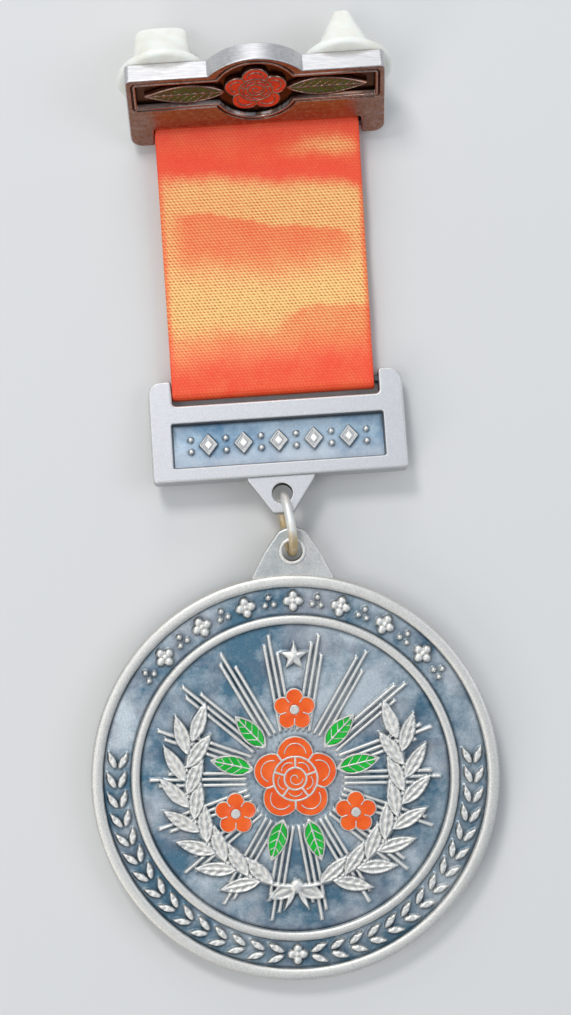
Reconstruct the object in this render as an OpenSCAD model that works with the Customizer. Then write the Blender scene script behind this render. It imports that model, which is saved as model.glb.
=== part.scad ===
// A breast jewel lying face up: a round cast medal hangs by a jump ring from a
// cast bar, and a ribbon joins that bar to a brooch bar that leans on its two
// pin caps. The medal's axis runs along Y, and the surface is at Z = 0.

/* [Medal] */
// Diameter of the medal over its rim
medal_d = 50; // [46:0.5:54]
// Thickness of the medal over its rim
medal_t = 3; // [2.8:0.1:3.4]
// Depth of the sunk fields below the rim
field_depth = 0.9; // [0.8:0.05:1.1]
// Width of the raised rim
rim_w = 1.45; // [1.2:0.05:1.7]
// Width of the sunk band inside the rim
band_w = 3.45; // [3.3:0.05:3.7]
// Width of the raised ring inside the band
inner_ring_w = 1.1; // [0.9:0.05:1.3]
// How far the inner ring stays below the rim
inner_ring_drop = 0.12; // [0:0.02:0.2]

/* [Lugs] */
// Thickness of both lugs
lug_t = 1.8; // [1.6:0.1:2]
// Diameter of the holes that the jump ring passes through
hole_d = 2.5; // [2.4:0.05:2.8]
// Width of the medal's lug where it meets the rim
medal_lug_w = 10; // [8.5:0.1:11]
// Height of the medal's lug above the rim
medal_lug_h = 5.8; // [5.4:0.05:6.2]
// Height of the medal's hole above the rim
medal_hole_up = 2.9; // [2.6:0.05:3.1]
// Width of the collar round the medal's hole
collar_w = 0.45; // [0.4:0.05:0.6]
// Height of that collar over the lug's faces
collar_h = 0.2; // [0.1:0.05:0.3]
// Width of the bar's lug at the bar
bar_lug_w = 8.2; // [7:0.1:9]
// Width of the bar's lug at its tip
bar_lug_tip_w = 2.4; // [2.2:0.1:3.2]
// Height of the bar's lug below the bar
bar_lug_h = 4.5; // [4.2:0.05:5]
// Distance of the bar's hole below the bar
bar_hole_down = 2.1; // [1.9:0.05:2.3]

/* [Jump ring] */
// Outer diameter of the jump ring
ring_d = 8.1; // [7.7:0.1:8.8]
// Thickness of its wire
ring_wire = 1.1; // [0.9:0.05:1.15]
// How far the ring lies towards the medal
ring_shift = 0.2; // [0:0.05:0.3]
// Angle at which the ring is turned off the medal's axis
ring_turn = 9; // [0:0.5:12]
// Angle at which the ring leans over
ring_lean = 6; // [0:0.5:10]

/* [Bars] */
// Width of both bars
bar_w = 31.2; // [30:0.2:34]
// Thickness of both bars
bar_t = 2.6; // [2.5:0.1:2.9]
// Height of the lower bar
lower_bar_h = 12.6; // [12:0.1:13.5]
// Height of the brooch bar beside its round top
brooch_bar_h = 12.45; // [12.4:0.05:12.8]
// Width of the brooch bar's round top where it leaves the bar
crown_w = 11.4; // [11:0.1:12]
// Rise of that round above the bar
crown_rise = 2.7; // [2.6:0.05:3]
// Drop from the brooch bar's shoulders to the middle of its panel
picture_down = 3.2; // [3.15:0.05:3.25]
// Radius of the corners beside the ribbon
ear_r = 1.6; // [1.2:0.1:2]
// Radius of the other corners
corner_r = 0.6; // [0.4:0.1:0.8]

/* [Slots for the ribbon] */
// Length of both slots
slot_l = 25.4; // [25.2:0.1:26]
// Opening of both slots
slot_h = 1.5; // [1.45:0.05:1.7]
// Radius of the slots' corners
slot_r = 0.5; // [0.3:0.05:0.6]
// Height of the rail that the ribbon goes round
rail_h = 0.8; // [0.7:0.05:0.85]
// Thickness of that rail
rail_t = 1.2; // [1.1:0.05:1.25]
// How far the rail is set back from the bar's edge
rail_back = 0.85; // [0.8:0.05:1]
// How far the rail stands forward of the bar's middle
rail_forward = 0.3; // [0.25:0.05:0.4]

/* [Sunk panels] */
// Depth of both panels
panel_depth = 0.7; // [0.55:0.05:0.9]
// Margin beside the lower bar's panel
panel_side = 2.55; // [2.2:0.05:3]
// Height of the lower bar's panel
panel_h = 5.7; // [5.2:0.1:6]
// Margin below the lower bar's panel
panel_margin = 1.6; // [1.4:0.1:1.9]
// Margin beside the brooch bar's panel
picture_side = 1.2; // [1.1:0.05:1.4]
// Height of the brooch bar's panel beside the round
picture_h = 4.1; // [3.6:0.1:4.4]
// Radius of the round middle of that panel
picture_r = 4.9; // [4.8:0.05:4.95]
// Width of the groove round that panel
groove_w = 0.25; // [0.2:0.05:0.3]
// Width of the thin line between groove and panel
line_w = 0.3; // [0.25:0.05:0.35]

/* [Ribbon] */
// Width of the ribbon
ribbon_w = 24.8; // [24:0.1:25]
// Thickness of the ribbon
ribbon_t = 1; // [1:0.01:1.04]
// Length of ribbon that shows between the bars
ribbon_l = 29; // [24:0.1:40]
// Angle at which ribbon and bars lie off the medal's axis
lean = 3; // [0:0.1:6]

/* [Pins and caps] */
// Distance between the two pins
pin_pitch = 22; // [20:0.5:24]
// Diameter of the pins
pin_d = 1.1; // [0.9:0.05:1.3]
// Length of the pins inside their caps
pin_l = 4.6; // [4:0.1:5]
// Height of the pins above the foot of the bar
pin_up = 8.5; // [8.2:0.1:8.8]
// Diameter of the caps' round flange
cap_d = 11.2; // [10:0.1:11.6]
// Thickness of that flange
cap_flange_t = 1.1; // [0.9:0.1:1.4]
// Diameter of the caps' neck at the flange
cap_neck_d = 7.2; // [6.4:0.1:7.4]
// Length of a cap from the bar
cap_l = 7.8; // [7.2:0.1:8.4]
// Length of the ridge that a cap ends in
ridge_l = 6.4; // [5.8:0.1:6.6]
// Thickness of that ridge
ridge_t = 2.8; // [2.4:0.1:3.2]
// How far the upright ridge sags towards the bar's foot
ridge_drop = 0.5; // [0.3:0.1:0.9]

/* [Relief] */
// Height of the rays above the field
ray_h = 0.35; // [0.2:0.05:0.4]
// Height of leaves, beads and lozenges above the field
relief_h = 0.6; // [0.45:0.05:0.62]
// Height of the flowers' metal above the field
flower_h = 0.65; // [0.63:0.01:0.75]
// Width of one bar of a ray
ray_w = 0.5; // [0.4:0.02:0.55]
// Distance between the bars of a ray
ray_pitch = 0.72; // [0.66:0.01:0.8]
// Number of rays round the field
ray_n = 18; // [12:2:18]
// Clear space between the rays' ends and the inner ring
ray_margin = 1.1; // [0.8:0.1:1.6]
// Distance of the wreath's stem from the inner ring
wreath_in = 5.6; // [5.4:0.1:6]
// Length of a wreath leaf
leaf_l = 5.4; // [4.8:0.1:5.8]
// Width of a wreath leaf
leaf_w = 1.95; // [1.7:0.05:2.1]
// Width of the wreath's stem
stem_w = 0.55; // [0.4:0.05:0.7]
// Leaf pairs in each branch of the wreath
leaf_pairs = 7; // [6:1:7]
// Length of a leaf in the band
band_leaf_l = 2.5; // [2.2:0.05:2.6]
// Width of a leaf in the band
band_leaf_w = 1; // [0.8:0.05:1.05]
// Radius of the small beads
bead_r = 0.37; // [0.3:0.01:0.42]
// Radius of the band's four-lobed flowers
lobed_r = 1.3; // [1.1:0.05:1.4]
// Radius of the star above the flowers
star_r = 2; // [1.7:0.05:2.2]
// Number of lozenges on the lower bar
lozenge_n = 5; // [3:2:5]
// Width of a lozenge
lozenge_w = 2.5; // [2:0.05:2.6]
// Height of a lozenge
lozenge_h = 3; // [2.6:0.05:3.2]
// Distance between lozenges
lozenge_pitch = 4.3; // [4:0.05:4.4]

/* [Enamel] */
// Radius of the rose in the middle of the medal
rose_r = 5.2; // [4.8:0.05:5.4]
// Radius of the three small blossoms round it
blossom_r = 2.6; // [2.3:0.05:2.8]
// Clear space between the rose and a blossom
blossom_gap = 0.7; // [0.5:0.05:1]
// Length of an enamelled leaf on the medal
green_l = 4.9; // [4.3:0.05:5.2]
// Width of an enamelled leaf on the medal
green_w = 2.2; // [1.9:0.05:2.4]
// Radius of the rose on the brooch bar
brooch_rose_r = 3.8; // [3.4:0.05:3.9]
// Clear space between an enamelled leaf's tip and the end of the brooch bar's panel
spray_margin = 1.3; // [1:0.05:1.7]
// Width of an enamelled leaf on the brooch bar
spray_w = 2.8; // [2.3:0.05:3]
// Width of the metal lines between the cells
cell_line = 0.3; // [0.24:0.02:0.36]
// Thickness of the enamel
enamel_t = 0.35; // [0.25:0.01:0.4]
// How far the enamel stays below the lines
enamel_low = 0.06; // [0.04:0.01:0.1]
// Clearance between the enamel and its cell
enamel_gap = 0.05; // [0.04:0.01:0.06]

/* [Hidden] */
petal_n = 5;
blossom_n = 3;
green_n = 6;
$fn = 48;

// Clearance between a pin and its cap, and between a cap and the bar
pin_gap = 0.06;
cap_gap = 0.05;
// Clearance between the ribbon and the rails
wrap_gap = 0.08;
// Relief reaches this far down into the metal that carries it
sink = 0.3;
// Cutters reach this far past what they cut
past = 1;
// Straight steps in a rounded corner and in a half-round moulding
corner_steps = 6;
// Height of the half-round top of rim and inner ring, and the bevel at the medal's back
moulding_top = 0.45;
edge = 0.3;

medal_r = medal_d / 2;
field_t = medal_t - field_depth;
band_r = medal_r - rim_w;
inner_ring_r = band_r - band_w;
field_r = inner_ring_r - inner_ring_w;
band_mid_r = (band_r + inner_ring_r) / 2;
panel_floor = bar_t - panel_depth;
panel_w = bar_w - 2 * panel_side;
picture_w = bar_w - 2 * picture_side;
picture_up = brooch_bar_h - picture_down;
crown_r = (pow(crown_w / 2, 2) + pow(crown_rise, 2)) / (2 * crown_rise);
crown_up = brooch_bar_h + crown_rise - crown_r;

ring_r = (ring_d - ring_wire) / 2;
ring_up = ring_r * cos(ring_lean) + ring_wire / 2;
rail_mid = rail_back + rail_h / 2;

// Angle of a plate that is held at ring_up, a reach away from the edge that it rests on
function lean_angle(reach, back) = asin(ring_up / norm([reach, back])) - atan2(back, reach);
// A point along and across a leaning plate, as [y, z]
function on_plate(tilt, along, across) =
    [along * cos(tilt) - across * sin(tilt), along * sin(tilt) + across * cos(tilt)];

// The medal leans between its lower edge and the ring in its lug
medal_lug_mid = medal_t / 2;
medal_reach = 2 * medal_r + medal_hole_up;
medal_tilt = lean_angle(medal_reach - edge, medal_lug_mid);
// The lower bar leans between its upper edge and the ring in its lug
lower_reach = lower_bar_h + bar_hole_down;
lower_tilt = lean_angle(lower_reach, bar_t / 2);
// The brooch bar leans on its foot and on the cap whose ridge stands upright
brooch_tilt = atan2(cap_l, pin_up - ridge_drop - ridge_l / 2);

// Places of the rails and the brooch bar's foot, as [y, z] from the lower bar's hole
lower_rail = [0, ring_up] + on_plate(-lower_tilt, lower_reach - rail_mid, rail_forward);
lower_end = on_plate(-lower_tilt, lower_reach, bar_t / 2)[0];
brooch_foot = lower_end + ribbon_l - on_plate(brooch_tilt, 0, bar_t)[0];
brooch_rail = [brooch_foot, 0] + on_plate(brooch_tilt, rail_mid, bar_t / 2 + rail_forward);

// The part's two ends along Y from the medal's hole, and the middle between them
cap_end = brooch_foot + on_plate(brooch_tilt, pin_up - ridge_drop + ridge_l / 2, -cap_l)[0];
upper_end_y = 2 * ring_r * cos(ring_turn) + cap_end * cos(lean) + pin_pitch / 2 * sin(lean);
medal_end_y = on_plate(medal_tilt, -medal_reach, medal_lug_mid - moulding_top)[0];
middle_y = (upper_end_y + medal_end_y) / 2;

blossom_out = rose_r + blossom_gap + blossom_r;
stem_r = field_r - wreath_in;
green_from = rose_r + cell_line;
spray_from = brooch_rose_r + cell_line;
spray_l = picture_w / 2 - spray_margin - spray_from;
// The star stands this share of its radius outside the stem, and has notches at this share
star_step = 0.8;
star_notch = 0.45;
star_out = stem_r + star_step * star_r;
THIRDS = [90, 210, 330];
green_splay = 17;

// Points of an arc round a place, from one angle to another
function arc(at, r, from, to, steps = corner_steps) =
    [for (i = [0:steps]) let (a = from + (to - from) * i / steps) at + r * [cos(a), sin(a)]];
// Half width of a pointed leaf at a share of its length, fullest before the middle
fullness = 0.85;
function leaf_half(w, share) = w / 2 * pow(sin(180 * pow(share, fullness)), fullness);
// Outline of a pointed leaf from its foot at the origin along X
function leaf_outline(l, w, steps = 6) = concat(
    [[0, 0]],
    [for (i = [1:steps - 1]) [l * i / steps, leaf_half(w, i / steps)]],
    [[l, 0]],
    [for (i = [steps - 1:-1:1]) [l * i / steps, -leaf_half(w, i / steps)]]
);
// Outline of a star with five points, the first one upwards
function star_outline(r) =
    [for (i = [0:9]) r * (i % 2 == 0 ? 1 : star_notch) * [cos(90 + 36 * i), sin(90 + 36 * i)]];
// Outline of a plate with its foot on the X axis and rounded corners
function plate_outline(w, h, foot_r, top_r) = concat(
    arc([w / 2 - foot_r, foot_r], foot_r, -90, 0),
    arc([w / 2 - top_r, h - top_r], top_r, 0, 90),
    arc([-w / 2 + top_r, h - top_r], top_r, 90, 180),
    arc([-w / 2 + foot_r, foot_r], foot_r, 180, 270)
);
// Section of a half-round moulding, from its outer radius inwards
function moulding(r_out, w, top) =
    [for (i = [0:corner_steps]) let (a = 180 * i / corner_steps)
        [r_out - w / 2 + w / 2 * cos(a), top - moulding_top + moulding_top * sin(a)]];

// Sinks an outline into its ground and raises it by h above it
module raised(ground, h) {
    translate([0, 0, ground - sink]) linear_extrude(sink + h) children();
}

// Cuts a pocket for enamel, a clearance deeper than the enamel
module pocket(ground) {
    floor_z = ground + flower_h - enamel_low - enamel_t - enamel_gap;
    translate([0, 0, floor_z]) linear_extrude(past) children();
}

// Fills a pocket's outline with enamel
module inlay(ground) {
    translate([0, 0, ground + flower_h - enamel_low - enamel_t]) linear_extrude(enamel_t) children();
}

module medal_blank() {
    rotate_extrude() polygon(concat(
        [[0, 0], [medal_r - edge, 0], [medal_r, edge]],
        moulding(medal_r, rim_w, medal_t),
        [[band_r, field_t], [inner_ring_r, field_t]],
        moulding(inner_ring_r, inner_ring_w, medal_t - inner_ring_drop),
        [[field_r, field_t], [0, field_t]]
    ));
}

module medal_lug() {
    tip_slope = 38;
    foot = medal_r - rim_w / 2;
    shoulder = medal_r - edge;
    at = [0, medal_r + medal_hole_up];
    back = medal_lug_mid - lug_t / 2;
    translate([0, 0, back]) linear_extrude(lug_t) polygon(concat(
        [[-medal_lug_w / 2, foot], [medal_lug_w / 2, foot], [medal_lug_w / 2, shoulder]],
        arc(at, medal_lug_h - medal_hole_up, 90 - tip_slope, 90 + tip_slope),
        [[-medal_lug_w / 2, shoulder]]
    ));
    translate([at[0], at[1], back - collar_h]) cylinder(r = hole_d / 2 + collar_w, h = lug_t + 2 * collar_h);
}

// A ray's bars: sideways step in pitches, and how much shorter as a share of the field's radius
RAY_STEP = 0;
RAY_SHORT = 1;
RAY_BARS = [[-1, 0.12], [0, 0], [1, 0.06]];

module rays() {
    from = rose_r + blossom_gap;
    for (k = [0:ray_n - 1], bar = RAY_BARS) {
        to = field_r - ray_margin - field_r * bar[RAY_SHORT];
        rotate(90 + 360 * (k + 0.5) / ray_n)
            translate([from, bar[RAY_STEP] * ray_pitch - ray_w / 2]) square([to - from, ray_w]);
    }
}

// The right branch of the wreath runs between these angles, and its leaves turn out by leaf_turn
wreath_from = -78;
wreath_to = 20;
leaf_turn = 30;

module branch() {
    step = (wreath_to - wreath_from) / leaf_pairs;
    polygon(concat(
        arc([0, 0], stem_r + stem_w / 2, wreath_from - step, wreath_to, 2 * corner_steps),
        arc([0, 0], stem_r - stem_w / 2, wreath_to, wreath_from - step, 2 * corner_steps)
    ));
    for (k = [0:leaf_pairs - 1], side = [-1, 1])
        rotate(wreath_from + step * (k + (side > 0 ? 0.5 : 0))) translate([stem_r, 0])
            rotate(90 - side * leaf_turn) polygon(leaf_outline(leaf_l, leaf_w));
    rotate(wreath_to) translate([stem_r, 0]) rotate(90) polygon(leaf_outline(leaf_l, leaf_w));
}

// The bow's loops and ends: turn from the upright, and size as shares of a wreath leaf
BOW_TURN = 0;
BOW_LENGTH = 1;
BOW_WIDTH = 2;
BOW = [[-112, 0.72, 1], [112, 0.72, 1], [-152, 0.66, 0.45], [152, 0.66, 0.45]];

module bow() {
    knot_r = 1.1 * stem_w + bead_r;
    translate([0, -stem_r]) {
        circle(r = knot_r);
        for (part = BOW) rotate(90 + part[BOW_TURN])
            polygon(leaf_outline(leaf_l * part[BOW_LENGTH], leaf_w * part[BOW_WIDTH]));
    }
}

// A band flower's lobes stand at this share of its radius, and its core has this one
lobe_out = 0.55;
lobe_core = 0.4;
// Three beads stand this many of their radii off their middle
beads_out = 1.7;

module lobed_flower() {
    for (a = [0:90:270]) rotate(a) translate([lobed_r * lobe_out, 0]) circle(r = lobed_r * (1 - lobe_out));
    circle(r = lobed_r * lobe_core);
}

module three_beads() {
    for (a = THIRDS) rotate(a) translate([bead_r * beads_out, 0]) circle(r = bead_r);
}

// The band has a row of flowers above, and leaf pairs that part from one flower below
upper_n = 7;
upper_step = 15.4;
lower_pairs = 15;
lower_half = 96;
band_leaf_turn = 24;
// The first pair starts this share of a step nearer the flower, and the rows part by this share
pair_shift = 0.35;
row_part = 0.2;

module band_ornament() {
    for (k = [0:upper_n - 1]) rotate(upper_step * (k - (upper_n - 1) / 2))
        translate([0, band_mid_r]) lobed_flower();
    for (k = [0:upper_n]) rotate(upper_step * (k - upper_n / 2))
        translate([0, band_mid_r]) three_beads();
    translate([0, -band_mid_r]) lobed_flower();
    for (side = [-1, 1], k = [1:lower_pairs], row = [-1, 1])
        rotate(-90 + side * lower_half * (k - pair_shift) / lower_pairs)
            translate([band_mid_r + row * band_leaf_w * row_part, 0])
                rotate(side * (90 - row * band_leaf_turn))
                    polygon(leaf_outline(band_leaf_l, band_leaf_w, 4));
}

// A rose's petals and rings, as shares of its radius
petal_out = 0.57;
petal_round = 0.43;
ring_share = 0.52;
heart_share = 0.26;

// A wedge along X whose sides stay an inset away from the two lines at plus and minus half
module wedge(half, r, inset) {
    far = r / cos(half);
    translate([inset / sin(half), 0])
        polygon([[0, 0], [far * cos(half), -far * sin(half)], [far, 0], [far * cos(half), far * sin(half)]]);
}

module petal_lobe(r, inset) {
    translate([r * petal_out, 0]) circle(r = r * petal_round - cell_line / 2 - inset);
}

module outer_petal(r, k, inset) {
    rotate(90 + 360 * k / petal_n) difference() {
        intersection() {
            petal_lobe(r, inset);
            wedge(180 / petal_n, 2 * r, cell_line / 2 + inset);
        }
        circle(r = r * ring_share + cell_line / 2 + inset);
    }
}

module inner_petal(r, k, inset) {
    rotate(90 + 360 * (k + 0.5) / petal_n) difference() {
        intersection() {
            circle(r = r * ring_share - cell_line / 2 - inset);
            wedge(180 / petal_n, 2 * r, cell_line / 2 + inset);
        }
        circle(r = r * heart_share + cell_line / 2 + inset);
    }
}

module heart(r, inset) {
    circle(r = r * heart_share - cell_line / 2 - inset);
}

// A blossom's enamel is one piece: five lobes round a metal bead
module blossom_cell(inset) {
    difference() {
        for (k = [0:petal_n - 1]) rotate(90 + 360 * k / petal_n) petal_lobe(blossom_r, inset);
        circle(r = blossom_r * heart_share + inset);
    }
}

module rose_boss(r) {
    for (k = [0:petal_n - 1]) rotate(90 + 360 * k / petal_n)
        translate([r * petal_out, 0]) circle(r = r * petal_round);
    circle(r = r * ring_share);
}

module rose_cells(r) {
    for (k = [0:petal_n - 1]) {
        outer_petal(r, k, 0);
        inner_petal(r, k, 0);
    }
    heart(r, 0);
}

module at_blossom(k) {
    rotate(THIRDS[k] - 90) translate([0, blossom_out]) children();
}

// An enamelled leaf; the inset is from the middle of the metal line round it
module green_cell(k, inset) {
    side = k % 2 == 0 ? -1 : 1;
    rotate(THIRDS[floor(k / 2)] + 60 + side * green_splay) translate([green_from + 2 * inset, 0])
        polygon(leaf_outline(green_l - 4 * inset, green_w - 2 * inset));
}

module spray_cell(side, inset) {
    mirror([side < 0 ? 1 : 0, 0]) translate([spray_from + 2 * inset, 0])
        polygon(leaf_outline(spray_l - 4 * inset, spray_w - 2 * inset, 8));
}

module medal_relief() {
    raised(field_t, ray_h) rays();
    raised(field_t, relief_h) branch();
    raised(field_t, relief_h) mirror([1, 0]) branch();
    raised(field_t, flower_h) bow();
    raised(field_t, flower_h) translate([0, star_out]) polygon(star_outline(star_r));
    raised(field_t, relief_h) band_ornament();
    raised(field_t, flower_h) {
        rose_boss(rose_r);
        for (k = [0:blossom_n - 1]) at_blossom(k) rose_boss(blossom_r);
        for (k = [0:green_n - 1]) green_cell(k, -cell_line / 2);
    }
}

module medal() {
    color("silver") difference() {
        union() {
            medal_blank();
            medal_lug();
            medal_relief();
        }
        translate([0, medal_r + medal_hole_up, -past]) cylinder(d = hole_d, h = medal_t + 2 * past);
        pocket(field_t) {
            rose_cells(rose_r);
            for (k = [0:blossom_n - 1]) at_blossom(k) blossom_cell(0);
            for (k = [0:green_n - 1]) green_cell(k, cell_line / 2);
        }
    }
}

// From a bar's edge inwards: the notch before the rail, the rail's thinning, and the slot
module ribbon_cut() {
    front = bar_t / 2 + rail_forward + rail_t / 2;
    back = front - rail_t;
    reach = rail_back + rail_h + slot_h / 2;
    translate([-slot_l / 2, -past, -past]) cube([slot_l, past + rail_back, bar_t + 2 * past]);
    translate([-slot_l / 2, -past, front]) cube([slot_l, past + reach, bar_t]);
    translate([-slot_l / 2, -past, back - bar_t]) cube([slot_l, past + reach, bar_t]);
    translate([0, rail_back + rail_h, -past]) linear_extrude(bar_t + 2 * past)
        polygon(plate_outline(slot_l, slot_h, slot_r, slot_r));
}

module lozenge_row() {
    for (k = [0:lozenge_n - 1]) translate([(k - (lozenge_n - 1) / 2) * lozenge_pitch, 0])
        polygon([[lozenge_w / 2, 0], [0, lozenge_h / 2], [-lozenge_w / 2, 0], [0, -lozenge_h / 2]]);
    for (k = [0:lozenge_n], side = [-1, 1])
        translate([(k - lozenge_n / 2) * lozenge_pitch, side * lozenge_h / 4]) circle(r = bead_r);
}

// Here the lower bar stands on the edge that its lug hangs from, with its back at the bottom
module lower_bar() {
    shoulder = 0.3;
    color("silver") difference() {
        union() {
            difference() {
                linear_extrude(bar_t) polygon(plate_outline(bar_w, lower_bar_h, corner_r, ear_r));
                translate([-panel_w / 2, panel_margin, panel_floor]) cube([panel_w, panel_h, past + panel_depth]);
                translate([0, lower_bar_h, 0]) mirror([0, 1, 0]) ribbon_cut();
            }
            translate([0, panel_margin + panel_h / 2]) raised(panel_floor, relief_h) lozenge_row();
            translate([0, 0, (bar_t - lug_t) / 2]) linear_extrude(lug_t) polygon([
                [-bar_lug_w / 2, corner_r], [-bar_lug_w / 2, -shoulder],
                [-bar_lug_tip_w / 2, -bar_lug_h], [bar_lug_tip_w / 2, -bar_lug_h],
                [bar_lug_w / 2, -shoulder], [bar_lug_w / 2, corner_r]
            ]);
        }
        translate([0, -bar_hole_down, -past]) cylinder(d = hole_d, h = bar_t + 2 * past);
    }
}

// The brooch bar's panel: a strip with a round middle, grown by a margin
module picture_outline(margin) {
    square([picture_w + 2 * margin, picture_h + 2 * margin], center = true);
    circle(r = picture_r + margin);
}

module picture_cut() {
    translate([0, 0, bar_t - panel_depth / 2]) linear_extrude(past) difference() {
        picture_outline(line_w + groove_w);
        picture_outline(line_w);
    }
    translate([0, 0, panel_floor]) linear_extrude(past + panel_depth) picture_outline(0);
}

// Here the brooch bar stands on its foot, with its back at the bottom
module brooch_bar() {
    color("silver") difference() {
        union() {
            difference() {
                union() {
                    linear_extrude(bar_t) polygon(plate_outline(bar_w, brooch_bar_h, ear_r, corner_r));
                    translate([0, crown_up, 0]) cylinder(r = crown_r, h = bar_t);
                }
                ribbon_cut();
                translate([0, picture_up, 0]) picture_cut();
            }
            translate([0, picture_up]) raised(panel_floor, flower_h) {
                rose_boss(brooch_rose_r);
                spray_cell(1, -cell_line / 2);
                spray_cell(-1, -cell_line / 2);
            }
            for (side = [-1, 1]) translate([side * pin_pitch / 2, pin_up, -pin_l])
                cylinder(d = pin_d, h = pin_l + sink);
        }
        translate([0, picture_up]) pocket(panel_floor) {
            rose_cells(brooch_rose_r);
            spray_cell(1, cell_line / 2);
            spray_cell(-1, cell_line / 2);
        }
    }
}

// A soft cap on a pin: a round flange, a neck and the ridge that it is pinched to
module pin_cap(turn, drop) {
    lip = 0.8;
    color("ivory") difference() {
        union() {
            cylinder(d = cap_d, h = cap_flange_t);
            hull() {
                translate([0, 0, cap_flange_t / 2]) cylinder(d = cap_neck_d, h = cap_flange_t, $fn = 32);
                translate([0, -drop, cap_l - cap_gap - lip]) rotate(turn)
                    translate([-ridge_l / 2, -ridge_t / 2]) cube([ridge_l, ridge_t, lip]);
            }
        }
        translate([0, 0, -past]) cylinder(d = pin_d + 2 * pin_gap, h = past + pin_l + pin_gap - cap_gap);
    }
}

module jump_ring() {
    color("gainsboro") rotate([0, 90, 0]) rotate_extrude() translate([ring_r, 0]) circle(d = ring_wire);
}

// The ribbon's section is a belt round the two rails. Between them its layers
// lie close, and ease apart over belt_ease to pass round each rail.
belt_ease = 6;
belt_close = 0.1;
belt_steps = 16;
wrap_steps = 10;
wrap_r = norm([rail_t, rail_h]) / 2 + wrap_gap;
belt_run = brooch_rail[0] - lower_rail[0];

function ease(x) = x <= 0 ? 0 : x >= 1 ? 1 : x * x * (3 - 2 * x);
function belt_half(y) = let (near = min(y - lower_rail[0], brooch_rail[0] - y))
    wrap_r + (belt_close - wrap_r) * ease(near / belt_ease);
function belt_mid(y) = lower_rail[1] + (brooch_rail[1] - lower_rail[1]) * (y - lower_rail[0]) / belt_run;
// One side of the belt, a distance out from the rails
function belt_side(side, extra) =
    [for (i = [1:belt_steps - 1])
        let (y = lower_rail[0] + belt_run * (side > 0 ? i : belt_steps - i) / belt_steps)
            [y, belt_mid(y) + side * (belt_half(y) + extra)]];
function belt(extra) = concat(
    belt_side(1, extra),
    arc(brooch_rail, wrap_r + extra, 90, -90, wrap_steps),
    belt_side(-1, extra),
    arc(lower_rail, wrap_r + extra, 270, 90, wrap_steps)
);

module ribbon() {
    color("orangered") translate([-ribbon_w / 2, 0, 0]) rotate([90, 0, 90])
        linear_extrude(ribbon_w) difference() {
            polygon(belt(ribbon_t));
            polygon(belt(0));
        }
}

module rose_outer_petal(k) {
    color("orangered") inlay(field_t) outer_petal(rose_r, k, enamel_gap);
}

module rose_inner_petal(k) {
    color("tomato") inlay(field_t) inner_petal(rose_r, k, enamel_gap);
}

module rose_heart() {
    color("tomato") inlay(field_t) heart(rose_r, enamel_gap);
}

module blossom(k) {
    color("orangered") inlay(field_t) at_blossom(k) blossom_cell(enamel_gap);
}

module green_leaf(k) {
    color("green") inlay(field_t) green_cell(k, cell_line / 2 + enamel_gap);
}

module brooch_petal(k) {
    color("orangered") translate([0, picture_up]) inlay(panel_floor) {
        outer_petal(brooch_rose_r, k, enamel_gap);
    }
}

module brooch_rose_heart() {
    color("tomato") translate([0, picture_up]) inlay(panel_floor) heart(brooch_rose_r, enamel_gap);
}

module brooch_leaf(side) {
    color("green") translate([0, picture_up]) inlay(panel_floor) spray_cell(side, cell_line / 2 + enamel_gap);
}

// Places: all is set out from the medal's hole, then moved so that the origin is in the middle
module in_place() {
    translate([0, -middle_y, 0]) children();
}

module in_medal_place() {
    in_place() translate([0, 0, ring_up]) rotate([medal_tilt, 0, 0])
        translate([0, -medal_r - medal_hole_up, -medal_lug_mid]) children();
}

module in_ring_place() {
    in_place() rotate(ring_turn) translate([0, ring_r - ring_shift, ring_up]) rotate([0, ring_lean, 0])
        children();
}

// From here on the lower bar's hole is the origin
module in_upper_place() {
    in_place() rotate(ring_turn) translate([0, 2 * ring_r, 0]) rotate(lean - ring_turn) children();
}

module in_lower_bar_place() {
    in_upper_place() translate([0, 0, ring_up]) rotate([-lower_tilt, 0, 0])
        translate([0, bar_hole_down, -bar_t / 2]) children();
}

module in_brooch_place() {
    in_upper_place() translate([0, brooch_foot, 0]) rotate([brooch_tilt, 0, 0]) children();
}

module in_cap_place(side) {
    in_brooch_place() translate([side * pin_pitch / 2, pin_up, -cap_gap]) mirror([0, 0, 1]) children();
}

in_medal_place() medal();
in_lower_bar_place() lower_bar();
in_brooch_place() brooch_bar();
in_ring_place() jump_ring();
in_upper_place() ribbon();
in_cap_place(-1) pin_cap(0, 0);  // left_pin_cap
in_cap_place(1) pin_cap(90, ridge_drop);  // right_pin_cap
in_medal_place() rose_heart();
for (k = [0:petal_n - 1])
    in_medal_place() rose_outer_petal(k);
for (k = [0:petal_n - 1])
    in_medal_place() rose_inner_petal(k);
for (k = [0:blossom_n - 1])
    in_medal_place() blossom(k);
for (k = [0:green_n - 1])
    in_medal_place() green_leaf(k);
in_brooch_place() brooch_rose_heart();
in_brooch_place() brooch_leaf(-1);  // brooch_leaf_left
in_brooch_place() brooch_leaf(1);  // brooch_leaf_right
for (k = [0:petal_n - 1])
    in_brooch_place() brooch_petal(k);
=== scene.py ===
"""Dresses the breast jewel: a patinated cast medal, two cast bars, a satin ribbon and two rubber caps.

Every size is in millimetres and every angle in degrees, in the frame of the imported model, until a
mesh is made, where millimetres turn to metres. X is the jewel's right, Y its top and Z up from the
surface that it lies on.
"""
import logging
import math
from dataclasses import dataclass, field
from enum import Enum
from functools import cached_property, partial
from typing import Any, Callable, Dict, List, Optional, Sequence, Tuple, Union

import bmesh
import bpy
import numpy as np
from mathutils import Euler, Matrix, Vector
from mathutils.geometry import tessellate_polygon


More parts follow.
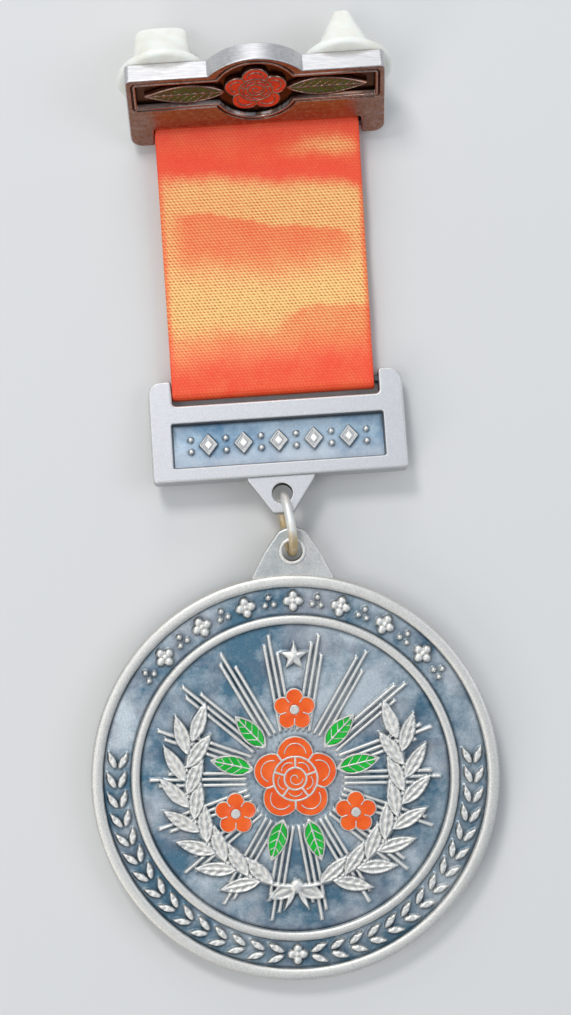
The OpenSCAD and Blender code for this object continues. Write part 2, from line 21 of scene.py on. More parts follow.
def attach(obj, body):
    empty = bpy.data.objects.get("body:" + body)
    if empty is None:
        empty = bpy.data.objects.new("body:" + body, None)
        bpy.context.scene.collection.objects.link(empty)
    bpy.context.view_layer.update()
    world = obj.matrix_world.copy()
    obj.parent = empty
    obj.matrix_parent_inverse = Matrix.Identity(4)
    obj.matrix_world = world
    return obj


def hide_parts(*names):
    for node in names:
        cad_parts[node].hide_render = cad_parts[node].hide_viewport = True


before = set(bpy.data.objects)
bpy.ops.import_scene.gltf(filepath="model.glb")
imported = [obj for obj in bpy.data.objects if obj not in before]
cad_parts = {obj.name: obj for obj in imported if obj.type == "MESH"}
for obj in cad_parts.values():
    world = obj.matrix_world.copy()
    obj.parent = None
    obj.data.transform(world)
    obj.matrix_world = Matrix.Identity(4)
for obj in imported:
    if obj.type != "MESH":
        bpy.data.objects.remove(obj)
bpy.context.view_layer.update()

logging.basicConfig(level=logging.INFO, format="%(levelname)s %(message)s")
log = logging.getLogger("jewel")

Array = np.ndarray
Number = Union[float, Array]
Point = Tuple[float, float]
Corner = Tuple[float, float, float]
Row = Tuple[Array, float]
Socket = bpy.types.NodeSocket
Inputs = Dict[Any, Any]
AddNode = Callable[..., Socket]
MM = 0.001  # metres in a millimetre
MERGE = 1e-6  # metres: points closer than this become one
FAR = 9.0  # millimetres: the distance given where no line is near
TAU = 2 * math.pi


# ---- plain maths ----

def cosd(angle: Number) -> Number:
    """Cosine of an angle in degrees."""
    return np.cos(np.radians(angle))


def sind(angle: Number) -> Number:
    """Sine of an angle in degrees."""
    return np.sin(np.radians(angle))


def polar(r: Number, angle: Number) -> Tuple[Number, Number]:
    """X and Y of what lies at a distance and an angle from the origin."""
    return r * cosd(angle), r * sind(angle)


def ease(x: Array) -> Array:
    """Smooth step: 0 below 0, 1 above 1, and x squared times (3 - 2x) between."""
    x = np.clip(x, 0.0, 1.0)
    return x * x * (3 - 2 * x)


def shift(x: float = 0.0, y: float = 0.0, z: float = 0.0) -> Array:
    """A move, as a 4 by 4 matrix."""
    out = np.eye(4)
    out[:3, 3] = (x, y, z)
    return out


def turned(axis: str, angle: float) -> Array:
    """A turn about one axis, as a 4 by 4 matrix."""
    return np.array(Matrix.Rotation(math.radians(angle), 4, axis))


def placed(place: Array, points: Array) -> Array:
    """Points carried by a 4 by 4 matrix."""
    return points @ place[:3, :3].T + place[:3, 3]


# ---- where the pieces lie ----

@dataclass
class Layout:
    """The chain from medal to brooch bar: the sizes that set each piece's place, and the places.

    A place is a 4 by 4 matrix that carries a piece from its own frame to the model's.
    """

    medal_r: float = 25.0
    medal_t: float = 3.0
    moulding_top: float = 0.45
    edge: float = 0.3
    hole_up: float = 2.9
    bar_t: float = 2.6
    lower_bar_h: float = 12.6
    hole_down: float = 2.1
    ring_r: float = 3.5
    wire: float = 1.1
    ring_shift: float = 0.2
    ring_turn: float = 9.0
    ring_lean: float = 6.0
    rail_back: float = 0.85
    rail_h: float = 0.8
    rail_t: float = 1.2
    rail_forward: float = 0.3
    ribbon_l: float = 29.0
    lean: float = 3.0
    pin_pitch: float = 22.0
    pin_up: float = 8.5
    cap_l: float = 7.8
    cap_gap: float = 0.05
    ridge_l: float = 6.4
    ridge_drop: float = 0.5

    def __post_init__(self) -> None:
        """Works out the leans, the rails' middles as (y, z) from the lower bar's hole, and the places."""
        self.ring_up = self.ring_r * cosd(self.ring_lean) + self.wire / 2
        medal_l, bar_l = 2 * self.medal_r + self.hole_up, self.lower_bar_h + self.hole_down
        medal_tilt = self.lean_angle(medal_l - self.edge, self.medal_t / 2)
        lower_tilt = -self.lean_angle(bar_l, self.bar_t / 2)
        # The brooch bar rests on its foot and on the cap whose ridge is upright.
        ridge_up = self.pin_up - self.ridge_drop
        tilt = math.degrees(math.atan2(self.cap_l, ridge_up - self.ridge_l / 2))
        foot = self.on_plate(lower_tilt, bar_l, self.bar_t / 2)[0] + self.ribbon_l
        foot -= self.on_plate(tilt, 0, self.bar_t)[0]

        rail_in = self.rail_back + self.rail_h / 2
        out = self.rail_forward
        self.lower_rail = (0, self.ring_up) + self.on_plate(lower_tilt, bar_l - rail_in, out)
        self.brooch_rail = (foot, 0) + self.on_plate(tilt, rail_in, self.bar_t / 2 + out)

        cap_end = foot + self.on_plate(tilt, ridge_up + self.ridge_l / 2, -self.cap_l)[0]
        top = 2 * self.ring_r * cosd(self.ring_turn) + cap_end * cosd(self.lean)
        top += self.pin_pitch / 2 * sind(self.lean)
        low = self.on_plate(medal_tilt, -medal_l, self.medal_t / 2 - self.moulding_top)[0]
        self.base = shift(y=-(top + low) / 2)
        ring_base = self.base @ turned("Z", self.ring_turn)
        self.medal = (self.base @ shift(z=self.ring_up) @ turned("X", medal_tilt)
                      @ shift(0, -self.medal_r - self.hole_up, -self.medal_t / 2))
        self.ring = (ring_base @ shift(0, self.ring_r - self.ring_shift, self.ring_up)
                     @ turned("Y", self.ring_lean))
        self.upper = ring_base @ shift(0, 2 * self.ring_r) @ turned("Z", self.lean - self.ring_turn)
        self.lower_bar = (self.upper @ shift(z=self.ring_up) @ turned("X", lower_tilt)
                          @ shift(0, self.hole_down, -self.bar_t / 2))
        self.brooch = self.upper @ shift(y=foot) @ turned("X", tilt)

    @staticmethod
    def on_plate(tilt: float, along: float, across: float) -> Array:
        """A point along and across a leaning plate, as (y, z)."""
        return np.array([along * cosd(tilt) - across * sind(tilt), along * sind(tilt) + across * cosd(tilt)])

    def lean_angle(self, reach: float, back: float) -> float:
        """Lean of a plate that is held at ring_up, a reach away from the edge that it rests on."""
        return math.degrees(math.asin(self.ring_up / math.hypot(reach, back)) - math.atan2(back, reach))

    def cap(self, side: int) -> Array:
        """Place of a cap, which grows along its own Z axis away from the bar's back."""
        flip = np.diag([1.0, 1.0, -1.0, 1.0])
        return self.brooch @ shift(side * self.pin_pitch / 2, self.pin_up, -self.cap_gap) @ flip


LAYOUT = Layout()


# ---- surfaces ----

@dataclass
class Skin:
    """A surface: points, faces, and one value a point for each named attribute."""

    points: Array
    faces: Array
    values: Dict[str, Array] = field(default_factory=dict)
    uv: Optional[Array] = None
    smooth: bool = True


def grid(points: Array, wrap_rows: bool = False, wrap_cols: bool = False, flip: bool = False,
         uv: Optional[Array] = None, **values: Number) -> Skin:
    """Makes a surface from points that are a function of a row and a column.

    Args:
        points: rows by columns by 3, in millimetres.
        wrap_rows: the last row joins the first.
        wrap_cols: the last column joins the first.
        flip: turns the faces over; unflipped, they face along (columns' run) x (rows' run).
        uv: rows by columns by 2, where a pattern follows the surface.
        values: attributes: one number, a column with one a row, or rows by columns.

    Returns:
        The surface.
    """
    rows, cols = points.shape[:2]
    number = np.arange(rows * cols).reshape(rows, cols)
    number = np.vstack([number, number[:1]]) if wrap_rows else number
    number = np.hstack([number, number[:, :1]]) if wrap_cols else number
    quads = np.stack([number[:-1, :-1], number[:-1, 1:], number[1:, 1:], number[1:, :-1]], -1).reshape(-1, 4)
    spread = {key: np.broadcast_to(value, (rows, cols)).reshape(-1) for key, value in values.items()}
    return Skin(points.reshape(-1, 3), quads[:, ::-1] if flip else quads, spread,
                None if uv is None else uv.reshape(-1, 2))


def lifted(loop: Array, z: float) -> Array:
    """A flat loop's points, at a height."""
    return np.column_stack([loop, np.full(len(loop), z)])


def loft(rows: Sequence[Row], **tones: Array) -> Skin:
    """Joins closed loops at their heights into a wall; a tone has one value a row."""
    points = np.stack([lifted(loop, z) for loop, z in rows])
    return grid(points, wrap_cols=True, **{key: np.array(tone, float)[:, None] for key, tone in tones.items()})


def lowered(sheet: Array, z: float) -> Array:
    """A round sheet with two more rows, which close it below: its last and its first, at a height."""
    low = sheet[[-1, 0]]
    low[..., 2] = z
    return np.concatenate([sheet, low])


def closed_below(sheet: Array, z: float, flip: bool = False, **tones: float) -> List[Skin]:
    """The wall from a sheet's edge down to a height, and the bottom there.

    Args:
        sheet: the grid of points whose edge it follows.
        z: the bottom's height.
        flip: the sheet's own faces are flipped.
        tones: attributes with one value all over.

    Returns:
        The wall and the bottom.
    """
    loop = np.vstack([sheet[0, :-1], sheet[:-1, -1], sheet[-1, :0:-1], sheet[:0:-1, 0]])
    low, order = lifted(loop[:, :2], z), np.arange(len(loop))[None]
    bottom = {key: np.full(len(loop), tone) for key, tone in tones.items()}
    return [grid(np.stack([low, loop]), wrap_cols=True, flip=flip, **tones),
            Skin(low, order if flip else order[:, ::-1], bottom, smooth=False)]


def flat(loops: Sequence[Array], z: float, up: bool, **tones: float) -> Skin:
    """Fills the area between an outer loop and the loops of its openings, at one height."""
    points = np.vstack([lifted(loop, z) for loop in loops])
    triangles = np.array(tessellate_polygon([[Vector((p[0], p[1], 0)) for p in loop] for loop in loops]))
    a, b, c = (points[triangles[:, i], :2] for i in range(3))
    area = np.cross(b - a, c - a)
    keep = np.abs(area) > 1e-9
    triangles, over = triangles[keep], (area[keep] < 0) == up
    triangles[over] = triangles[over][:, ::-1]
    values = {key: np.full(len(points), tone) for key, tone in tones.items()}
    return Skin(points, triangles, values, smooth=False)


def circle(at: Point, r: float, n: int = 48, start: float = 0.0, stop: Optional[float] = None) -> Array:
    """Points round a circle, or along its arc up to an angle: middle plus r times (cos a, sin a)."""
    a = np.linspace(start, 360 if stop is None else stop, n, endpoint=stop is not None)
    return np.column_stack(polar(r, a)) + at


def mirrored(right: Sequence[Corner], top: Sequence[Corner] = ()) -> List[Corner]:
    """Corners up the right side, then across the top, then down the left as the right's mirror image."""
    return [*right, *top, *((-x, y, r) for x, y, r in reversed(right))]


def rounded(corners: Sequence[Corner], steps: int = 6) -> Array:
    """A closed loop with rounded corners.

    Each corner (x, y, r) turns into an arc of radius r that touches both sides: it starts and ends
    r / tan(half the corner's angle) away from the corner. A corner with r = 0 stays a point.

    Args:
        corners: the loop's corners in order.
        steps: straight steps in each arc.

    Returns:
        The loop's points.
    """
    spots = np.array([c[:2] for c in corners], float)
    out: List[Array] = []
    for i, (_, _, r) in enumerate(corners):
        here = spots[i]
        if r == 0:
            out.append(here[None])
            continue
        before, after = spots[i - 1] - here, spots[(i + 1) % len(spots)] - here
        before, after = before / np.linalg.norm(before), after / np.linalg.norm(after)
        half = math.acos(np.clip(before @ after, -1, 1)) / 2
        middle = here + (before + after) / np.linalg.norm(before + after) * r / math.sin(half)
        first, last = (here + way * r / math.tan(half) - middle for way in (before, after))
        a0 = math.atan2(first[1], first[0])
        span = (math.atan2(last[1], last[0]) - a0 + math.pi) % TAU - math.pi
        a = a0 + span * np.linspace(0, 1, steps + 1)
        out.append(middle + r * np.column_stack([np.cos(a), np.sin(a)]))
    return np.vstack(out)


def inset(loop: Array, d: float) -> Array:
    """A loop moved d to its left: each point goes along the mean of its two sides' normals."""
    run = np.roll(loop, -1, 0) - loop
    run = run / np.linalg.norm(run, axis=1, keepdims=True)
    normal = np.column_stack([-run[:, 1], run[:, 0]])
    before = np.roll(normal, 1, 0)
    share = 1 + np.sum(normal * before, axis=1, keepdims=True)
    return loop + d * (normal + before) / np.maximum(share, 0.3)


def edge_rows(loop: Array, back: float, front: float, soft: float, steps: int = 4) -> List[Row]:
    """A plate's wall from back to front: a quarter round of radius soft at each end.

    At turn t of the quarter round the wall is soft (1 - cos t) in from the outline and
    soft (1 - sin t) short of the face. One row close to each round keeps the flat part flat.
    """
    turns = np.linspace(0, 90, steps + 1)
    ins = [(inset(loop, soft * (1 - cosd(t))), soft * (1 - sind(t))) for t in turns]
    guard = soft + min(0.04, (front - back - 2 * soft) / 3)
    return ([(row, back + short) for row, short in ins[::-1]] + [(loop, back + guard), (loop, front - guard)]
            + [(row, front - short) for row, short in ins])


@dataclass
class Plate:
    """A flat cast plate with softened edges, with openings through it and pockets in its front."""

    outline: Array
    back: float
    front: float
    soft: float = 0.15
    openings: Sequence[Array] = ()
    pockets: Sequence[Sequence[Row]] = ()
    front_tone: float = 1.0
    pocket_dark: float = 0.45

    def skins(self) -> List[Skin]:
        """The walls, then the front and the back. Openings' and pockets' loops run clockwise."""
        loops = [self.outline, *self.openings]
        # One value for each of the twelve rows of a wall: its rounds are rubbed, an opening's middle is dark.
        rub = self.front_tone * np.array([0, 0.3, 0.5, 0.3, 0, 0, 0, 0, 0.6, 1.0, 0.7, 0])
        tone = [1.0] * 10 + [(1 + self.front_tone) / 2, self.front_tone]
        inside = 0.95 * (np.abs(np.arange(12) - 5.5) < 3)
        walls = [loft(edge_rows(loop, self.back, self.front, self.soft), worn=rub, raised=tone,
                      nook=(k > 0) * inside) for k, loop in enumerate(loops)]
        for rows in self.pockets:
            rise = np.array([z for _, z in rows])
            deep = np.clip((rise[-1] - rise) / (rise[-1] - rise[0]), 0, 1)
            high = rise >= rise[-1] - 0.06
            worn = 0.6 * self.front_tone * high
            worn[[0, -1]] = 0
            walls.append(loft(rows, nook=self.pocket_dark * deep ** 0.4 * ~high, worn=worn,
                              raised=np.full(len(rows), self.front_tone)))
            walls.append(flat([rows[0][0][::-1]], rows[0][1], True, nook=0.9))
        ends = [inset(loop, self.soft) for loop in loops]
        front = flat(ends + [rows[-1][0] for rows in self.pockets], self.front, True, raised=self.front_tone)
        return walls + [front, flat(ends, self.back, False)]


# ---- relief ----

def half_round(d: Array, half: float) -> Array:
    """Height share of a half-round ridge, d inside its edge: root of 1 - (1 - d/half) squared."""
    return np.sqrt(np.maximum(0, 1 - (1 - np.clip(d / half, 0, 1)) ** 2))


def leaf_half(width: float, share: Array) -> Array:
    """Half width of a pointed leaf at a share of its length: w/2 sin(180 share^0.85)^0.85."""
    return width / 2 * np.maximum(np.sin(np.pi * np.clip(share, 0, 1) ** 0.85), 0) ** 0.85


def bell(d: Array, width: float) -> Array:
    """A bell curve: e to the power of -(d / width) squared."""
    return np.exp(-(d / width) ** 2)


def bar(u: Array, v: Array, length: float, width: float, height: float) -> Array:
    """A bar along X with a half-round top: height by the distance to its nearest side."""
    d = np.minimum(np.minimum(width / 2 - np.abs(v), u), length - u)
    return height * half_round(d, width / 2) ** 0.7 * (d > 0)


def leaf(u: Array, v: Array, length: float, width: float, height: float, veins: int = 5) -> Array:
    """A pointed leaf along X: a raised rim, a raised midrib, hollow halves and slanting side veins."""
    d = (leaf_half(width, u / length) - np.abs(v)) * 0.85
    slant = np.cos(TAU * veins * (u - 1.1 * np.abs(v)) / length)
    body = 0.66 + 0.28 * np.maximum(bell(d - 0.17, 0.12), bell(v, 0.13)) + 0.05 * slant
    return height * ease(d / 0.16) * np.minimum(body, 1) * (d > 0)


def bow_loop(u: Array, v: Array, length: float, width: float, height: float) -> Array:
    """A bow's loop or end along X: a raised rim round a hollow with two soft folds."""
    half = np.maximum(leaf_half(width, u / length), 1e-6)
    d = (half - np.abs(v)) * 0.85
    body = 0.62 + 0.1 * np.cos(TAU * 1.5 * v / half / 2) + 0.3 * bell(d - 0.18, 0.13)
    return height * ease(d / 0.16) * np.minimum(body, 1) * (d > 0)


def bead(u: Array, v: Array, r: float, height: float) -> Array:
    """A full round bead: height times the root of 1 - (distance / r) to the third power."""
    return height * np.sqrt(np.maximum(0, 1 - (np.hypot(u, v) / r) ** 3))


def star(u: Array, v: Array, r: float, height: float, points: int = 5, inner: float = 0.45) -> Array:
    """A faceted star: height falls in a straight line from its middle to its outline.

    The distance to the outline is taken in the sector between a tip and the notch beside it.
    """
    step = math.pi / points
    a = np.abs((np.arctan2(v, u) + step) % (2 * step) - step)
    x, y = np.hypot(u, v) * np.cos(a), np.hypot(u, v) * np.sin(a)
    run_x, run_y = r * (inner * math.cos(step) - 1), r * inner * math.sin(step)
    d = (y * run_x - (x - r) * run_y) / math.hypot(run_x, run_y)
    deep = r * math.sin(math.atan2(run_y, -run_x))
    return height * ease(d / 0.14) * (0.55 + 0.45 * np.clip(d / deep, 0, 1)) * (d > 0)


def lozenge(u: Array, v: Array, width: float, tall: float, height: float) -> Array:
    """A lozenge with a bevelled border and a small raised one in its middle, at share t of the way in."""
    t = 1 - np.abs(u) / (width / 2) - np.abs(v) / (tall / 2)
    border = ease(t / 0.16) * (1 - 0.42 * ease((t - 0.2) / 0.12))
    return height * np.maximum(border, ease((t - 0.5) / 0.12)) * (t > 0)


@dataclass
class Relief:
    """Heights above a sunk ground at a set of points. Motifs are stamped on it; the higher one wins."""

    x: Array
    y: Array

    def __post_init__(self) -> None:
        """Starts flat."""
        self.h = np.zeros_like(self.x)

    def stamp(self, at: Point, angle: float, reach: float, shape: Callable[..., Array], *sizes: float,
              under: float = 1.0) -> None:
        """Raises the ground to a motif that stands at a point, turned by an angle.

        Args:
            at: the motif's origin.
            angle: the turn of its X axis.
            reach: how far from its origin it can rise.
            shape: its height by (u, v) in its own axes, and by its sizes.
            sizes: the sizes that the shape takes.
            under: the share of the height below it that stays inside its outline.
        """
        dx, dy = self.x - at[0], self.y - at[1]
        near = dx * dx + dy * dy < reach * reach
        c, s = polar(1, angle)
        new, old = shape(c * dx[near] + s * dy[near], c * dy[near] - s * dx[near], *sizes), self.h[near]
        self.h[near] = np.where(new > 0, np.maximum(new, under * old), old)

    def stem(self, r: float, width: float, height: float, start: float, stop: float) -> None:
        """Raises a half-round stem along a circle between two angles."""
        angle = np.degrees(np.arctan2(self.y, self.x))
        d = (width / 2 - np.abs(np.hypot(self.x, self.y) - r)) * (angle > start) * (angle < stop)
        self.h = np.maximum(self.h, height * half_round(d, width / 2) * (d > 0))


def patina(h: Array, full: float, reach: int = 3, wrap_cols: bool = True) -> Dict[str, Array]:
    """How patina and wear lie on a relief.

    Args:
        h: heights over the ground, rows by columns.
        full: the height that counts as fully raised.
        reach: steps to each side of the mean, taken twice, that tells nooks from edges.
        wrap_cols: the grid closes on itself.

    Returns:
        raised, 0 on the ground to 1 on top; nook, 1 where the ground meets a motif; worn, 1 on
        the motifs' upper edges.
    """
    mean = h
    for axis in (0, 1, 0, 1):
        pad = [(reach, reach) if a == axis else (0, 0) for a in (0, 1)]
        wide = np.pad(mean, pad, mode="wrap" if wrap_cols and axis == 1 else "edge")
        mean = np.lib.stride_tricks.sliding_window_view(wide, 2 * reach + 1, axis).mean(-1)
    return {
        "raised": ease(h / full * 1.35),
        "nook": np.clip((mean - h) / full * 1.7, 0, 0.8),
        "worn": np.clip((h - mean) / full * 3.0 + 0.35 * ease(h / full * 1.2 - 0.2), 0, 1),
    }


# ---- finishes ----

def linear(colour: str) -> Tuple[float, float, float, float]:
    """An sRGB hex colour as linear red, green, blue and a full alpha."""
    parts = [int(colour[i:i + 2], 16) / 255 for i in (1, 3, 5)]
    red, green, blue = (c / 12.92 if c <= 0.04045 else ((c + 0.055) / 1.055) ** 2.4 for c in parts)
    return red, green, blue, 1.0


def add(tree: bpy.types.NodeTree, kind: str, inputs: Inputs, out: Union[int, str] = 0,
        **settings: Any) -> Optional[Socket]:
    """Adds a node to a material.

    Args:
        tree: the material's node tree.
        kind: the node's type, without the ShaderNode that it starts with.
        inputs: by input name or number, a number, vector or hex colour, or another node's output.
        out: name or number of the output that is asked for.
        settings: the node's own settings.

    Returns:
        That output, if the node has outputs.
    """
    node = tree.nodes.new("ShaderNode" + kind)
    for key, value in settings.items():
        setattr(node, key, value)
    for key, value in inputs.items():
        if isinstance(value, Socket):
            tree.links.new(value, node.inputs[key])
        else:
            node.inputs[key].default_value = linear(value) if isinstance(value, str) else value
    return node.outputs[out] if len(node.outputs) else None


# A Mix node mixes colours with these: input 6, and input 7 over it by the factor, give output 2.
COLOURS = {"out": 2, "data_type": "RGBA"}


def per_mm(size: float) -> float:
    """The noise scale whose grains are this many millimetres across."""
    return 1 / (size * MM)


@dataclass(frozen=True)
class Finish:
    """What the finishes share: a name, the record's material slot and a material, made once."""

    name: str
    slot: str = ""

    def surface(self, node: AddNode, place: Socket) -> Inputs:
        """Adds the finish's nodes.

        Args:
            node: adds a node to the finish's tree.
            place: the Object coordinates.

        Returns:
            The inputs of the main shader.
        """
        raise NotImplementedError

    @cached_property
    def material(self) -> bpy.types.Material:
        """The material, with the main shader on its surface."""
        material = bpy.data.materials.new(self.name)
        material.use_nodes = True
        material.node_tree.nodes.clear()
        node = partial(add, material.node_tree)
        shade = node("BsdfPrincipled", self.surface(node, node("TexCoord", {}, "Object")))
        node("OutputMaterial", {"Surface": shade})
        return material


@dataclass(frozen=True)
class AntiqueSilver(Finish):
    """Zinc alloy, cast, plated in antique silver and rubbed back.

    The rubbed tops are a pale satin grey, the sunk grounds keep a blue-grey patina with slow
    clouds and a film of brown tarnish in it, the nooks are nearly black, as patina in hollows and as
    painted shade in slots, on rails and along walls and flowers, and upper edges are worn bright.
    Real grain is 0.12 mm, drawn a little coarser so that it shows.
    """

    slot: str = "cast_silver"
    top: str = "#E2DED6"
    edge: str = "#F4F2EC"
    ground: str = "#5E8499"
    ground_light: str = "#D6DFE4"
    tarnish: str = "#8A8692"
    tarnish_share: float = 0.4
    nook: str = "#18222C"
    top_rough: float = 0.5
    ground_rough: float = 0.42
    grain: float = 0.2
    speck: float = 0.8
    bump: float = 0.45
    brush: Tuple[float, float, float] = (1.0, 1.0, 1.0)

    def surface(self, node: AddNode, place: Socket) -> Inputs:
        """Lays tones one over the other, by clouds and by the attributes raised, nook and worn."""
        raised, nook, worn = (node("Attribute", {}, "Fac", attribute_name=key)
                              for key in ("raised", "nook", "worn"))
        clouds = node("TexNoise", {"Vector": place, "Scale": per_mm(9.0), "Detail": 8.0, "Roughness": 0.66})
        light = node("MapRange", {"Value": clouds, "From Min": 0.42, "From Max": 0.6})
        stain = node("TexNoise", {"Vector": place, "Scale": per_mm(5.0), "Detail": 5.0, "Distortion": 0.6})
        film = node("MapRange", {"Value": stain, "From Min": 0.48, "From Max": 0.64,
                                 "To Max": self.tarnish_share})
        fine = node("TexNoise", {"Vector": place, "Scale": per_mm(0.5), "Detail": 4.0})
        rub = node("Math", {0: fine, 1: 0.5}, operation="SUBTRACT")
        height = node("Math", {0: rub, 1: 0.5, 2: raised}, operation="MULTIPLY_ADD", use_clamp=True)
        colour = self.ground
        for share, tone in ((light, self.ground_light), (film, self.tarnish), (height, self.top),
                            (nook, self.nook), (worn, self.edge)):
            colour = node("Mix", {"Factor": share, 6: colour, 7: tone}, **COLOURS)
        stretch = node("Mapping", {"Vector": place, "Scale": self.brush})
        grain = node("TexNoise", {"Vector": stretch, "Scale": per_mm(self.grain), "Detail": 2.0})
        speck = node("MapRange", {"Value": grain, "From Min": 0.3, "From Max": 0.7, "To Min": self.speck})
        rough = node("MapRange", {"Value": height, "To Min": self.ground_rough, "To Max": self.top_rough})
        return {
            "Base Color": node("Mix", {"Factor": 1.0, 6: colour, 7: speck}, blend_type="MULTIPLY", **COLOURS),
            "Metallic": 1.0,
            "Roughness": node("Math", {0: rub, 1: 0.16, 2: rough}, operation="MULTIPLY_ADD"),
            "Normal": node("Bump", {"Height": grain, "Strength": self.bump, "Distance": 0.05 * MM}),
        }


@dataclass(frozen=True)
class SoftEnamel(Finish):
    """Soft enamel, poured into cells and baked: a smooth glossy colour with faint clouds, under a
    thin clear coat."""

    colour: str = "#F76618"
    deep: str = "#EE540E"

    def surface(self, node: AddNode, place: Socket) -> Inputs:
        """Mixes the two tones by slow noise."""
        clouds = node("TexNoise", {"Vector": place, "Scale": per_mm(1.6), "Detail": 2.0})
        tone = node("MapRange", {"Value": clouds, "From Min": 0.4, "From Max": 0.65})
        ripple = node("TexNoise", {"Vector": place, "Scale": per_mm(0.8), "Detail": 1.0})
        return {
            "Base Color": node("Mix", {"Factor": tone, 6: self.colour, 7: self.deep}, **COLOURS),
            "Roughness": 0.2, "Coat Weight": 0.1, "Coat Roughness": 0.1,
            "Normal": node("Bump", {"Height": ripple, "Strength": 0.12, "Distance": 0.05 * MM}),
        }


@dataclass(frozen=True)
class SatinRibbon(Finish):
    """Rayon satin ribbon, woven with fine cross ribs. Its smooth floats catch the light where it
    bends; this sheen is painted as broad bands, yellow-orange against red-orange, with painted shade,
    brown, in small pits between them there. Real ribs are 0.2 mm apart; they are drawn 0.36 mm apart
    so that they show."""

    slot: str = "ribbon"
    shade_colour: str = "#F2361C"
    body_colour: str = "#FB5628"
    painted_sheen_colour: str = "#FFD884"
    pit_shade_colour: str = "#A8702C"
    sheen: str = "#FFC9A0"
    rib: float = 0.36
    float_w: float = 0.46
    slant: float = 0.5
    slip: float = 5.0

    def surface(self, node: AddNode, place: Socket) -> Inputs:
        """Broad painted sheen bands from the attribute glow; ribs and slanting floats from the UV map, in
        centimetres.
        """
        drift = node("TexNoise", {"Vector": place, "Scale": per_mm(3.0), "Detail": 3.0})
        fuzz = node("TexNoise", {"Vector": place, "Scale": per_mm(0.35), "Detail": 3.0})
        bands = node("Attribute", {}, "Fac", attribute_name="glow")
        across = node("SeparateXYZ", {0: place.node.outputs["UV"]}, "X")
        along = node("Math", {0: across.node.outputs["Y"], 1: TAU * 10 / self.rib}, operation="MULTIPLY")
        ribs = node("Math", {0: along}, operation="SINE")
        steep = node("Math", {0: along, 1: self.slant}, operation="MULTIPLY")
        slip = node("Math", {0: fuzz, 1: self.slip, 2: steep}, operation="MULTIPLY_ADD")
        turn = node("Math", {0: across, 1: TAU * 10 / self.float_w, 2: slip}, operation="MULTIPLY_ADD")
        floats = node("Math", {0: turn}, operation="SINE")
        weave = node("Math", {0: ribs, 1: floats}, operation="ADD")

        mass = node("MapRange", {"Value": fuzz, "From Min": 0.3, "From Max": 0.65,
                                 "To Min": 0.05, "To Max": 0.62})
        depth = node("Math", {0: bands, 1: mass, 2: 0.03}, operation="MULTIPLY_ADD")
        cloud = node("Math", {0: drift, 1: 0.22, 2: bands}, operation="MULTIPLY_ADD")
        even = node("Math", {0: cloud, 1: 0.11}, operation="SUBTRACT")
        glow = node("Math", {0: weave, 1: depth, 2: even}, operation="MULTIPLY_ADD", use_clamp=True)
        vary = node("MapRange", {"Value": fuzz, "From Min": 0.35, "From Max": 0.65,
                                 "To Min": 0.3, "To Max": 1.25})
        # Painted shade in the pits between ribs and floats, shown where the painted sheen is.
        pits = node("MapRange", {"Value": weave, "From Min": 0.0, "From Max": -1.8, "To Max": vary})
        seen = node("Math", {0: pits, 1: even}, operation="MULTIPLY", use_clamp=True)
        colour = self.shade_colour
        for share, tone in ((fuzz, self.body_colour), (glow, self.painted_sheen_colour), (seen, self.pit_shade_colour)):
            colour = node("Mix", {"Factor": share, 6: colour, 7: tone}, **COLOURS)
        return {
            "Base Color": colour, "Roughness": 0.5,
            "Sheen Weight": 0.15, "Sheen Roughness": 0.4, "Sheen Tint": self.sheen,
            "Normal": node("Bump", {"Height": weave, "Strength": 0.3, "Distance": 0.02 * MM}),
        }


@dataclass(frozen=True)
class SoftRubber(Finish):
    """Ivory soft rubber, moulded: a dull, slightly waxy white that lets a little light through."""

    slot: str = "pin_caps"
    colour: str = "#F4F4EB"
    deep: str = "#E9E5D6"

    def surface(self, node: AddNode, place: Socket) -> Inputs:
        """Faint warm clouds, light scattered under the surface, and a fine moulded grain."""
        clouds = node("TexNoise", {"Vector": place, "Scale": per_mm(2.5), "Detail": 3.0})
        tone = node("MapRange", {"Value": clouds, "From Min": 0.45, "From Max": 0.75})
        grain = node("TexNoise", {"Vector": place, "Scale": per_mm(0.4), "Detail": 3.0})
        return {
            "Base Color": node("Mix", {"Factor": tone, 6: self.colour, 7: self.deep}, **COLOURS),
            "Roughness": 0.48, "Subsurface Weight": 0.3, "Subsurface Radius": (1.0, 0.8, 0.55),
            "Subsurface Scale": 1.2 * MM,
            "Normal": node("Bump", {"Height": grain, "Strength": 0.25, "Distance": 0.1 * MM}),
        }


@dataclass(frozen=True)
class PlatedWire(Finish):
    """Brass wire, drawn and nickel plated: a bright satin, worn to brass where the medal rubs."""

    slot: str = "ring_wire"
    plate: str = "#F4F3EE"
    brass: str = "#DCC59A"

    def surface(self, node: AddNode, place: Socket) -> Inputs:
        """Mixes plate and brass by the attribute worn, broken up by noise."""
        spots = node("TexNoise", {"Vector": place, "Scale": per_mm(0.7), "Detail": 4.0})
        worn = node("Attribute", {}, "Fac", attribute_name="worn")
        edge = node("Math", {0: spots, 1: 1.2, 2: worn}, operation="MULTIPLY_ADD")
        wear = node("MapRange", {"Value": edge, "From Min": 0.8, "From Max": 1.6})
        return {
            "Base Color": node("Mix", {"Factor": wear, 6: self.plate, 7: self.brass}, **COLOURS),
            "Metallic": 1.0,
            "Roughness": node("MapRange", {"Value": spots, "To Min": 0.5, "To Max": 0.66}),
        }


@dataclass(frozen=True)
class PaleFloor(Finish):
    """Plain matt card, pressed."""

    colour: str = "#DCDBD8"

    def surface(self, node: AddNode, place: Socket) -> Inputs:
        """One pale tone with a trace of grain."""
        grain = node("TexNoise", {"Vector": place, "Scale": per_mm(0.5), "Detail": 2.0})
        bump = node("Bump", {"Height": grain, "Strength": 0.05, "Distance": 0.05 * MM})
        return {"Base Color": self.colour, "Roughness": 0.7, "Normal": bump}


# ---- pieces ----

